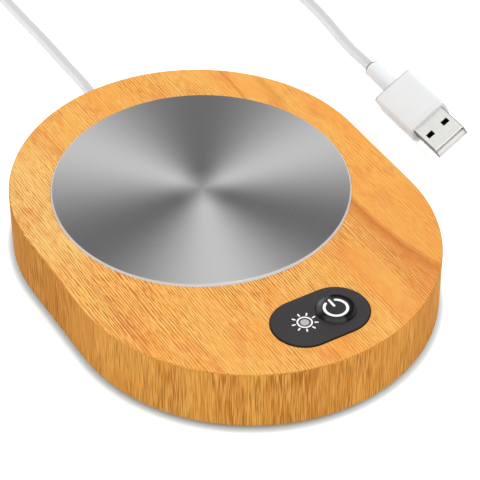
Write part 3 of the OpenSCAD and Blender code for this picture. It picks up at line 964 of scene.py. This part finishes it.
@dataclass(frozen=True)
class PlugSkin(Moulded):
    """The plug's white moulding, with a fine line where the cord enters its neck, and
    painted shade along the grip's back edge.
    """

    line: Colour = grey(120)
    line_soft: float = 0.05
    # back is painted shade along the grip's back edge.
    back: Colour = grey(180)
    back_shade_soft: float = 0.1
    line_width: float = 0.6

    def coats(self, shader: Shader) -> list[Coat]:
        """Draws the line round the end of the neck, and paints shade along the grip's
        back edge.

        Args:
            shader: The plug's shader.

        Returns:
            The coats of the painted edge shade and the line.
        """
        along = shader.parts(shader.place())[1]
        grip = high_corner("plug_grip").y
        back = along.step(grip - self.line_width - self.back_shade_soft, grip)
        back = back * along.step(grip + self.back_shade_soft, grip)
        neck = high_corner("plug_neck").y - self.line_width
        return [(back, self.back), (along.past(neck, self.line_soft), self.line)]


@dataclass(frozen=True)
class CordSkin(Moulded):
    """The cord's white skin, a little greyer along its top as painted shade."""

    # Painted shade on the cord's upper side.
    crest_shade: Colour = grey(217)
    crest_window: Window = (0.5, 1.0)

    def coats(self, shader: Shader) -> list[Coat]:
        """Paints shade on the side that lies uppermost."""
        return [(shader.facing().step(*self.crest_window), self.crest_shade)]


@dataclass(frozen=True)
class TongueSkin(Moulded):
    """The plug's tongue: pale at the mouth, and dark inside the shell, where its tone
    is painted shade that deepens with depth.
    """

    mouth: Colour = grey(254)
    mouth_window: Window = (3.0, 2.2)

    def coats(self, shader: Shader) -> list[Coat]:
        """Lightens the end that shows in the mouth."""
        depth = shader.parts(shader.place())[1] - low_corner("plug_tongue").y
        return [(depth.step(*self.mouth_window), self.mouth)]


@dataclass(frozen=True)
class Metal(Finish):
    """Stamped, drawn or plated metal with fine lines along one axis."""

    main: Colour
    other: Colour
    lines: Along = Along.NONE
    drawn: Layer = Layer(0.25, 3, 0.6, window=(0.4, 0.68), share=0.6)
    cloud: Layer = Layer(6, window=(0.5, 0.75), share=0.3)

    def draw(self, shader: Shader) -> Look:
        """Draws the lines and the clouds.

        Args:
            shader: The metal's shader.

        Returns:
            The look.
        """
        drawn = shader.noise(self.drawn, shader.place(self.lines.value))
        cloud = shader.noise(self.cloud)
        lined = (drawn.through(self.drawn), self.other)
        clouded = (cloud.through(self.cloud), self.other)
        tone = shader.lay(self.main, lined, clouded)
        return Look(tone, cloud, drawn, {"Metallic": 1.0})


@dataclass(frozen=True)
class ShellMetal(Metal):
    """The plug's shell: bright faces, with painted shade on its folded long edges."""

    # edge is painted shade along the shell's folded long edges.
    edge: Colour = grey(84)
    roll: float = 30.0
    face_half: float = 5.72
    fold_soft: float = 0.06

    def coats(self, shader: Shader) -> list[Coat]:
        """Paints shade on the two long edges.

        Args:
            shader: The shell's shader.

        Returns:
            The edges' coat.
        """
        across, _, up = shader.parts(shader.place(centre=middle_of("plug_shell")))
        lean = math.radians(self.roll)
        off = abs(across * math.cos(lean) + up * math.sin(lean))
        return [(off.past(self.face_half, self.fold_soft), self.edge)]


@dataclass(frozen=True)
class CircuitBoard(Finish):
    """Solder-masked board with copper runs under the mask."""

    name: str = "green_board"
    mask: Colour = paint(22, 84, 48)
    deep: Colour = paint(14, 62, 36)
    weave_turns: float = 7.5
    weave_window: Window = (-0.6, 0.6)
    weave_share: float = 0.5
    run: Colour = paint(52, 122, 70)
    runs: Layer = Layer(3.0, 0, window=(0.05, 0.03), stretch=(1, 0.2, 1))

    def draw(self, shader: Shader) -> Look:
        """Draws the weave and the copper runs.

        Args:
            shader: The board's shader.

        Returns:
            The look, with the runs raised.
        """
        across, along, _ = shader.parts(shader.place())
        weave = (across * self.weave_turns).sine() * (along * self.weave_turns).sine()
        weave = weave.step(*self.weave_window) * self.weave_share
        runs = abs(shader.noise(self.runs) - 0.5).through(self.runs)
        tone = shader.lay(self.mask, (weave, self.deep), (runs, self.run))
        return Look(tone, runs, runs)


@dataclass(frozen=True)
class Felt(Finish):
    """Pressed mineral felt with loose fibres."""

    name: str = "felt_pad"
    main: Colour = paint(226, 222, 210)
    other: Colour = paint(196, 190, 176)
    fibres: Layer = Layer(0.6, 5, 0.7, 2.5, (0.35, 0.65), stretch=(1, 0.3, 1))

    def draw(self, shader: Shader) -> Look:
        """Draws the fibres.

        Args:
            shader: The felt's shader.

        Returns:
            The look, with fibres that shine a little.
        """
        fibres = shader.noise(self.fibres)
        tone = shader.lay(self.main, (fibres.through(self.fibres), self.other))
        return Look(tone, fibres, fibres)


@dataclass(frozen=True)
class HeaterFilm(Finish):
    """Amber film with an etched foil path that shows through it."""

    name: str = "heater_film"
    film: Colour = paint(190, 112, 34)
    foil: Colour = paint(214, 170, 110)
    pitch: float = 2.4
    path_window: Window = (-0.2, 0.1)
    path_share: float = 0.7
    mottle: Layer = Layer(4, 3, share=0.3)

    def draw(self, shader: Shader) -> Look:
        """Draws the foil's rings under the film.

        Args:
            shader: The film's shader.

        Returns:
            The look, with the foil raised.
        """
        radius, _ = shader.turned(middle_of("film_heater"))
        paths = (radius * (math.tau / self.pitch)).sine().step(*self.path_window)
        mottle = shader.noise(self.mottle)
        shine = (mottle.through(self.mottle), self.foil)
        tone = shader.lay(self.film, shine, (paths * self.path_share, self.foil))
        return Look(tone, mottle, paths)


@dataclass(frozen=True)
class Tabletop(Finish):
    """A white table that keeps the soft shadow of what stands on it.

    Its glow, which only the eye and reflections get, rises from near_glow beside
    the body to far_glow over glow_window; held low beside the body, it leaves a
    narrow painted contact shadow there, over the real one. Its tone turns from a
    cool painted shadow tint to white over shadow_tint_window.
    """

    name: str = "tabletop"
    white: Colour = grey(248)
    shadow_tint: Colour = paint(228, 244, 252)
    near_glow: float = 0.04
    far_glow: float = 0.5
    glow_window: Window = (0.0, 2.4)
    shadow_tint_window: Window = (0.0, 9.6)

    def draw(self, shader: Shader) -> Look:
        """Draws the tone and the glow.

        Args:
            shader: The table's shader.

        Returns:
            The look, without relief.
        """
        away = shader.outside("wood_body")
        near = self.near_glow / self.far_glow
        # Painted contact shadow: the glow is held low beside the body.
        glow = away.step(*self.glow_window) * (1 - near) + near
        glow = shader.lay(grey(0), (shader.seen_directly() * glow, grey(255)))
        others = {"Emission Color": glow, "Emission Strength": self.far_glow}
        # A cool painted shadow tint beside the body, white farther out.
        tone = shader.lay(self.shadow_tint, (away.step(*self.shadow_tint_window), self.white))
        return Look(tone, others=others)


DULL = {"Specular IOR Level": 0.2}
WHITE_CORD = CordSkin(
    "white_cord",
    paint(246, 248, 250),
    paint(244, 246, 248),
    0.6,
    roughness=0.55,
    relief=0.004,
    fixed=DULL,
)
# The white ink glows a little: painted light on the printed symbols.
GLOWING_WHITE_INK = Moulded(
    "symbol_white",
    grey(254),
    grey(250),
    0.25,
    roughness=0.5,
    relief=0.01,
    fixed={"Emission Color": grey(255), "Emission Strength": 0.12},
)
SEAL_SILICONE = Moulded(
    "seal_silicone",
    paint(242, 244, 248),
    paint(234, 237, 243),
    0.3,
    roughness=0.5,
    relief=0.004,
)
CAP_FINISH = CapSkin(
    "charcoal_cap",
    paint(64, 61, 62),
    paint(60, 57, 58),
    0.35,
    roughness=0.5,
    relief=0.008,
    fixed={"Specular IOR Level": 0.02},
)
TABLETOP = Tabletop(roughness=1.0, fixed={"Specular IOR Level": 0.0})
METAL = {"unevenness": 0.14, "relief": 0.01, "relief_strength": 0.4}

# Each finish here has the name of the material slot that it is for.
SLOT_FINISHES: tuple[Finish, ...] = (
    HoneyWood(
        roughness=0.775,
        unevenness=0.15,
        relief=0.06,
        relief_strength=0.3,
        fixed={"Specular IOR Level": 0.08},
    ),
    SpunMetal(
        roughness=0.37,
        unevenness=0.06,
        relief=0.01,
        relief_strength=0.2,
        fixed={"Anisotropic": 0.5, "Anisotropic Rotation": 0.25},
    ),
    PanelSkin(
        "charcoal_panel",
        paint(54, 51, 52),
        paint(58, 54, 56),
        0.35,
        roughness=0.5,
        relief=0.012,
        fixed={"Specular IOR Level": 0.25},
    ),
    Moulded(
        "frosted_lens",
        paint(194, 191, 195),
        paint(178, 175, 179),
        0.3,
        roughness=0.3,
        relief=0.01,
    ),
    WHITE_CORD,
    PlugSkin(
        "white_plug",
        paint(250, 254, 255),
        paint(248, 252, 254),
        0.4,
        roughness=0.5,
        relief=0.004,
        fixed=DULL,
    ),
    ShellMetal(
        "plug_metal",
        paint(244, 245, 241),
        paint(232, 233, 229),
        Along.Y,
        roughness=0.34,
        **METAL,
    ),
    # The tongue's dark tones are painted shade inside the shell; its end in the mouth
    # is pale.
    TongueSkin("plug_insulator", grey(34), grey(28), 0.3, roughness=0.5),
    Metal(
        "gold_contact",
        paint(226, 186, 104),
        paint(206, 164, 84),
        Along.Y,
        roughness=0.25,
        **METAL,
    ),
    Moulded("black_cover", grey(36), grey(46), 0.3, roughness=0.6, relief=0.05),
    Moulded("foot_rubber", grey(25), grey(37), roughness=0.85, relief=0.06),
    Metal(
        "zinc_screw",
        paint(196, 198, 200),
        paint(160, 162, 166),
        roughness=0.35,
        **METAL,
    ),
    Moulded("gasket_silicone", grey(176), grey(160), roughness=0.6, relief=0.03),
    HeaterFilm(roughness=0.35, unevenness=0.1, relief=0.05),
    Felt(
        roughness=0.9,
        unevenness=-0.1,
        relief=0.2,
        relief_strength=0.8,
        fixed={"Specular IOR Level": 0.15},
    ),
    Metal("steel_disc", grey(188), grey(152), Along.X, roughness=0.38, **METAL),
    Moulded(
        "thermistor_glass",
        paint(40, 30, 26),
        paint(70, 52, 40),
        0.6,
        roughness=0.15,
        relief=0.01,
    ),
    Moulded(
        "fuse_ceramic",
        paint(226, 222, 212),
        paint(206, 200, 188),
        0.4,
        roughness=0.5,
        relief=0.03,
    ),
    CircuitBoard(
        roughness=0.37,
        unevenness=0.1,
        relief=0.03,
        fixed={"Coat Weight": 0.3, "Coat Roughness": 0.2},
    ),
    Moulded("white_nylon", grey(227), grey(213), 0.4),
    Moulded("black_chip", grey(31), grey(49), 0.25, roughness=0.55, relief=0.03),
    Moulded("grey_plunger", paint(104, 106, 110), paint(90, 92, 96), 0.4),
    Metal(
        "tinned_metal",
        paint(206, 208, 208),
        paint(174, 176, 178),
        roughness=0.3,
        **METAL,
    ),
    Moulded(
        "led_body",
        paint(232, 236, 240),
        paint(210, 216, 224),
        0.6,
        roughness=0.15,
        relief=0.01,
        fixed={"Coat Weight": 0.4},
    ),
    Moulded("ivory_connector", paint(232, 224, 200), paint(220, 210, 184), 0.4),
    Moulded("red_wire", paint(178, 28, 24), paint(150, 20, 20), roughness=0.4),
    Moulded("black_wire", grey(29), grey(45), roughness=0.4),
    Moulded("white_wire", grey(229), grey(213), roughness=0.4),
    Moulded("yellow_wire", paint(224, 180, 44), paint(204, 160, 34), roughness=0.4),
)


# ---------------------------------------------------------------- pieces


class Workshop:
    """Makes objects out of meshes, and each finish once."""

    def __init__(self) -> None:
        """Starts with no finish made."""
        self._made: dict[str, bpy.types.Material] = {}

    def finish(self, kind: Finish) -> bpy.types.Material:
        """Gives a finish's material, which is made at its first use.

        Args:
            kind: The finish.

        Returns:
            The material.
        """
        if kind.name not in self._made:
            self._made[kind.name] = kind.build()
        return self._made[kind.name]

    def from_mesh(
        self, name: str, mesh: bmesh.types.BMesh, kind: Finish
    ) -> bpy.types.Object:
        """Makes an object out of a bmesh, in millimetres, and frees the bmesh.

        Args:
            name: The piece's name.
            mesh: Its shape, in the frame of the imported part.
            kind: Its finish.

        Returns:
            The object, at the origin, with its place in its mesh.
        """
        bmesh.ops.scale(mesh, vec=(MM, MM, MM), verts=mesh.verts)
        data = bpy.data.meshes.new(name)
        mesh.to_mesh(data)
        mesh.free()
        data.materials.append(self.finish(kind))
        return put(name, data)


@dataclass
class Stroke:
    """A printed line of even width with round ends, on a level face."""

    width: float
    end_steps: int = 10
    degrees_a_step: float = 5.0
    least_steps: int = 8

    def _round_end(
        self, mesh: bmesh.types.BMesh, ends: Sequence[bmesh.types.BMVert], sign: int
    ) -> None:
        """Closes one end of a line with a half disc.

        Args:
            mesh: The shape so far.
            ends: Its last three vertices: one side, the middle, the other side.
            sign: The way to turn, 1 or -1.
        """
        middle = ends[1]
        edge = next(e for e in middle.link_edges if ends[0] in e.verts)
        bmesh.ops.spin(
            mesh,
            geom=[edge, *edge.verts],
            cent=middle.co.copy(),
            axis=(0, 0, 1),
            angle=sign * math.pi,
            steps=self.end_steps,
        )

    def _start(
        self, mesh: bmesh.types.BMesh, at: Vector, across: Vector
    ) -> tuple[list[bmesh.types.BMVert], list[bmesh.types.BMEdge]]:
        """Puts three vertices across the line and joins them.

        Args:
            mesh: The shape to add to.
            at: The middle of the line's start.
            across: The way across the line.

        Returns:
            The vertices and the edges between them.
        """
        half = across * self.width / 2
        row = [mesh.verts.new(at + half * side) for side in (-1, 0, 1)]
        pairs = zip(row, row[1:], strict=False)
        return row, [mesh.edges.new(pair) for pair in pairs]

    def arc(
        self,
        mesh: bmesh.types.BMesh,
        centre: Vector,
        radius: float,
        start: float,
        turn: float,
    ) -> None:
        """Adds an arc, or a whole ring where turn is 360.

        Args:
            mesh: The shape to add to.
            centre: The arc's centre.
            radius: Its middle radius.
            start: Its first angle in degrees.
            turn: How far it runs, in degrees.
        """
        closed = turn >= 360
        way = Vector((math.cos(math.radians(start)), math.sin(math.radians(start)), 0))
        row, edges = self._start(mesh, centre + way * radius, way)
        swept = bmesh.ops.spin(
            mesh,
            geom=[*edges, *row],
            cent=centre,
            axis=(0, 0, 1),
            angle=math.radians(turn),
            steps=max(self.least_steps, round(turn / self.degrees_a_step)),
            use_merge=closed,
        )
        if closed:
            return
        last = [g for g in swept["geom_last"] if isinstance(g, bmesh.types.BMVert)]
        last.sort(key=lambda v: (v.co - centre).length)
        self._round_end(mesh, last, -1)
        self._round_end(mesh, row, 1)

    def line(self, mesh: bmesh.types.BMesh, start: Vector, end: Vector) -> None:
        """Adds a straight line between two points.

        Args:
            mesh: The shape to add to.
            start: The middle of its first end.
            end: The middle of its last end.
        """
        across = Vector((0, 0, 1)).cross((end - start).normalized())
        row, edges = self._start(mesh, start, across)
        drawn = bmesh.ops.extrude_edge_only(mesh, edges=edges)
        last = [g for g in drawn["geom"] if isinstance(g, bmesh.types.BMVert)]
        bmesh.ops.translate(mesh, vec=end - start, verts=last)
        last.sort(key=lambda v: (v.co - end).dot(across))
        self._round_end(mesh, last, 1)
        self._round_end(mesh, row, -1)

    @staticmethod
    def raise_up(mesh: bmesh.types.BMesh, height: float) -> None:
        """Gives the flat strokes their thickness, upwards.

        Args:
            mesh: The flat strokes.
            height: The thickness.
        """
        bmesh.ops.remove_doubles(mesh, verts=mesh.verts, dist=1e-4)
        bmesh.ops.dissolve_degenerate(mesh, dist=1e-5, edges=mesh.edges)
        raised = bmesh.ops.extrude_face_region(mesh, geom=list(mesh.faces))
        top = [g for g in raised["geom"] if isinstance(g, bmesh.types.BMVert)]
        bmesh.ops.translate(mesh, vec=(0, 0, height), verts=top)
        bmesh.ops.recalc_face_normals(mesh, faces=mesh.faces)


@dataclass
class Symbols:
    """The printed sun on the panel and the power symbol on the button."""

    shop: Workshop
    ink: float = 0.05
    sun_ring_r: float = 2.06
    sun_width: float = 0.47
    ray_count: int = 9
    ray_mid_r: float = 3.28
    ray_length: float = 0.72
    power_ring_r: float = 3.3
    power_width: float = 0.8
    power_gap: float = 29.0
    bar_width: float = 0.72
    bar_from: float = 3.6
    bar_to: float = 0.95
    power_off: tuple[float, float] = (-0.23, -0.34)

    def _sun(self) -> bpy.types.Object:
        """Makes the ring round the indicator and its rays.

        Returns:
            The sun symbol.
        """
        centre = middle_of("indicator_lens")
        centre.z = high_corner("control_panel").z
        mesh = bmesh.new()
        stroke = Stroke(self.sun_width)
        stroke.arc(mesh, centre, self.sun_ring_r, 0, 360)
        for ray in range(self.ray_count):
            angle = math.radians(90 + 360 * ray / self.ray_count)
            way = Vector((math.cos(angle), math.sin(angle), 0))
            middle = centre + way * self.ray_mid_r
            half = way * self.ray_length / 2
            stroke.line(mesh, middle - half, middle + half)
        stroke.raise_up(mesh, self.ink)
        return self.shop.from_mesh("sun_symbol", mesh, GLOWING_WHITE_INK)

    def _power(self) -> bpy.types.Object:
        """Makes the broken ring and the bar on the button.

        Returns:
            The power symbol.
        """
        centre = middle_of("power_button")
        centre.z = high_corner("power_button").z
        centre += Vector((*self.power_off, 0))
        mesh = bmesh.new()
        first, turn = 90 + self.power_gap, 360 - 2 * self.power_gap
        Stroke(self.power_width).arc(mesh, centre, self.power_ring_r, first, turn)
        bar = [centre + Vector((0, at, 0)) for at in (self.bar_from, self.bar_to)]
        Stroke(self.bar_width).line(mesh, *bar)
        Stroke.raise_up(mesh, self.ink)
        return self.shop.from_mesh("power_symbol", mesh, GLOWING_WHITE_INK)

    def build(self) -> None:
        """Makes both symbols; the power symbol moves with the button."""
        sun, power = self._sun(), self._power()
        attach(sun, ROOT)
        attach(power, BUTTON)
        for piece in (sun, power):
            log.info("printed %s", piece.name)


@dataclass
class PlateSeal:
    """The thin pale lip that stands on the seat's ledge and closes the plate's gap."""

    shop: Workshop
    play: float = 0.02
    width: float = 0.19
    proud: float = 0.1
    round_off: float = 0.06
    round_steps: int = 3
    steps: int = 180

    def build(self) -> None:
        """Makes the lip as a turned ring, with its two upper edges rounded."""
        centre = middle_of("heating_plate")
        inner = high_corner("heating_plate").x - centre.x + self.play
        outer = inner + self.width
        foot = low_corner("plate_gasket").z
        top = high_corner("wood_body").z + self.proud
        mesh = bmesh.new()
        corners = [
            mesh.verts.new((centre.x + radius, centre.y, height))
            for radius, height in zip(
                (inner, outer, outer, inner), (foot, foot, top, top), strict=True
            )
        ]
        mesh.faces.new(corners)
        bmesh.ops.bevel(
            mesh,
            geom=corners[2:],
            offset=self.round_off,
            segments=self.round_steps,
            profile=0.5,
            affect="VERTICES",
            material=-1,
        )
        profile = mesh.faces[:][0]
        edges = list(profile.edges)
        bmesh.ops.delete(mesh, geom=[profile], context="FACES_ONLY")
        bmesh.ops.spin(
            mesh,
            geom=[*edges, *mesh.verts],
            cent=centre,
            axis=(0, 0, 1),
            angle=math.tau,
            steps=self.steps,
            use_merge=True,
        )
        bmesh.ops.recalc_face_normals(mesh, faces=mesh.faces)
        made = self.shop.from_mesh("plate_seal", mesh, SEAL_SILICONE)
        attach(made, ROOT)
        log.info("turned plate_seal, %.1f mm across", 2 * outer)


@dataclass
class SupplyCord:
    """The white cord from the gland, through its coil, to the plug.

    A row of slots is the radius and the height of a turn of the coil. The cord
    shifts from one to the next over shift_width, from shift_from, in degrees.
    """

    shop: Workshop
    diameter: float = 3.6
    length: float = 1200.0
    knot_steps: int = 6
    round_steps: int = 5
    lead: tuple[Triple, ...] = (
        (0, 84.5, 8.6),
        (0.9, 91, 7.8),
        (2.2, 99, 5.6),
        (3.4, 108, 3.3),
        (4.1, 117, 2.1),
        (4.2, 128, 1.8),
        (3.8, 142, 1.8),
        (3.5, 155, 1.8),
        (3.5, 167, 1.8),
        (5.5, 177, 1.8),
        (10.5, 184, 1.8),
        (18.5, 189, 1.9),
        (30, 192.5, 2.2),
    )
    tail: tuple[Triple, ...] = (
        (64.1, 187.1, 10.2),
        (67, 183.6, 11.4),
        (70.3, 177.8, 12.7),
        (73.8, 171.7, 13.4),
        (77.6, 165.1, 12.6),
        (81.2, 158.5, 9.6),
        (84.6, 151.6, 6.2),
        (87.6, 144.4, 3.5),
        (90.2, 136.6, 2.1),
        (92.3, 126, 1.8),
        (93.8, 114.5, 1.8),
        (94.4, 103, 1.8),
        (94, 92, 1.8),
        (92.9, 82, 2),
        (91.3, 73, 3),
        (89.7, 65, 4.7),
        (88.7, 58.3, 6.1),
    )
    coil_centre: tuple[float, float] = (50, 173)
    coil_start: float = 105.1
    coil_end: float = 60.0
    points_a_turn: int = 18
    shift_width: float = 100.0
    slots: tuple[tuple[float, float], ...] = (
        (23.8, 2.4),
        (20.0, 2.4),
        (16.2, 2.4),
        (16.2, 6.1),
        (20.0, 6.1),
        (23.8, 6.1),
        (23.8, 9.8),
        (20.0, 9.8),
        (20.0, 9.8),
    )
    shift_from: tuple[float, ...] = (258, 258, 221, 184, 184, 147, 110, 260)

    def _coil_point(self, travelled: float) -> Vector:
        """Gives a point of the coil, wound clockwise.

        Args:
            travelled: How far the turns have run, in degrees.

        Returns:
            The point, in millimetres.
        """
        turn, phase = divmod(travelled, 360)
        here, there = self.slots[int(turn)], self.slots[int(turn) + 1]
        moved = (phase - self.shift_from[int(turn)]) / self.shift_width
        eased = (1 - math.cos(math.pi * min(max(moved, 0), 1))) / 2
        radius, height = (
            first + (second - first) * eased
            for first, second in zip(here, there, strict=True)
        )
        angle = math.radians(self.coil_start - travelled)
        across, along = self.coil_centre
        across += radius * math.cos(angle)
        along += radius * math.sin(angle)
        return Vector((across, along, height))

    def route(self) -> list[Vector]:
        """Gives the whole centreline.

        Returns:
            Its points from the gland to the plug, in millimetres.
        """
        whole = 360 * (len(self.slots) - 2) + self.coil_start - self.coil_end
        count = round(whole / 360 * self.points_a_turn)
        coil = [self._coil_point(whole * i / count) for i in range(count + 1)]
        plug = middle_of("plug_neck")
        plug.y = high_corner("plug_neck").y
        return [*map(Vector, self.lead), *coil, *map(Vector, self.tail), plug]

    def build(self) -> None:
        points = self.route()
        data = bpy.data.curves.new("supply_cord", "CURVE")
        data.dimensions = "3D"
        data.resolution_u = self.knot_steps
        data.bevel_depth = self.diameter / 2 * MM
        data.bevel_resolution = self.round_steps
        data.use_fill_caps = True
        line = data.splines.new("BEZIER")
        line.bezier_points.add(len(points) - 1)
        for knot, point in zip(line.bezier_points, points, strict=True):
            knot.co = point * MM
            knot.handle_left_type = knot.handle_right_type = "AUTO"
        data.materials.append(self.shop.finish(WHITE_CORD))
        cord = put("supply_cord", data)
        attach(cord, ROOT)
        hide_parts("cord_lead", "cord_coil", "cord_tail")
        tuple(points[0] * MM)
        span = sum((b - a).length for a, b in zip(points, points[1:], strict=False))
        log.info("laid supply_cord, about %.0f mm", span)


@dataclass
class CarriedPieces:
    """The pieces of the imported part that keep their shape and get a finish."""

    shop: Workshop
    own_finish: dict[str, Finish] = field(
        default_factory=lambda: {"power_button": CAP_FINISH}
    )

    def dress(self) -> None:
        """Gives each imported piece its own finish, or that of its material slot."""
        of_slot = {finish.name: finish for finish in SLOT_FINISHES}
        slots = {
            row["node"]: row["material_slot"] for row in frame["record"]["subparts"]
        }
        for name, piece in sorted(frame["nodes"].items()):
            kind = self.own_finish.get(name, of_slot[slots[name]])
            material = self.shop.finish(kind)
            for place in piece.material_slots:
                place.material = material
            log.info("dressed %s in %s", name, material.name)


@dataclass
class Setting:
    """The table, the light and the camera."""

    shop: Workshop
    table_reach: float = 3000.0
    camera_at: Triple = (-245.23, -424.92, 433.4)
    looks_at: Triple = (-2.62, -14.81, 21.28)
    lens: float = 161.87
    sensor: float = 36.0
    clip_metres: Window = (0.01, 20)
    sky: float = 0.88
    key_power: float = 0.36
    key_from: Triple = (0.5, -0.3, 1.5)
    key_angle: float = 45.0

    @staticmethod
    def _turn(made: bpy.types.Object, way: Vector) -> None:
        """Turns a camera or a lamp, which look down their own Z, along a way."""
        made.rotation_mode = "QUATERNION"
        made.rotation_quaternion = way.to_track_quat("-Z", "Y")

    def camera(self) -> None:
        """Puts the camera in its place."""
        data = bpy.data.cameras.new("camera")
        data.lens = self.lens
        data.sensor_width = self.sensor
        data.clip_start, data.clip_end = self.clip_metres
        made = put("camera", data)
        made.location = Vector(self.camera_at) * MM
        self._turn(made, Vector(self.looks_at) - Vector(self.camera_at))
        bpy.context.scene.camera = made

    def table(self) -> None:
        """Lays the table under the feet."""
        mesh = bmesh.new()
        bmesh.ops.create_grid(mesh, x_segments=1, y_segments=1, size=self.table_reach)
        made = self.shop.from_mesh("tabletop", mesh, TABLETOP)

    def light(self) -> None:
        """Lights the object from a pale sky and one soft lamp."""
        sky = Shader(bpy.data.worlds.new("studio"))
        back = sky.value(
            "ShaderNodeBackground", None, {"Color": grey(255), "Strength": self.sky}
        )
        sky.node("ShaderNodeOutputWorld", None, {0: back})
        bpy.context.scene.world = sky.owner
        lamp = bpy.data.lights.new("key", "SUN")
        lamp.energy = self.key_power
        lamp.angle = math.radians(self.key_angle)
        self._turn(put("key", lamp), -Vector(self.key_from))


def main() -> None:
    """Builds the scene: camera, cord, then every other piece."""
    shop = Workshop()
    setting = Setting(shop)
    steps: list[tuple[str, Callable[[], None]]] = [
        ("camera", setting.camera),
        ("cord", SupplyCord(shop).build),
        ("packed pieces", CarriedPieces(shop).dress),
        ("seal", PlateSeal(shop).build),
        ("symbols", Symbols(shop).build),
        ("table", setting.table),
        ("light", setting.light),
    ]
    for name, step in steps:
        log.info("building the %s", name)
        step()
    bpy.context.scene.view_settings.view_transform = "Standard"
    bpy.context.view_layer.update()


if __name__ == "__main__":
    main()
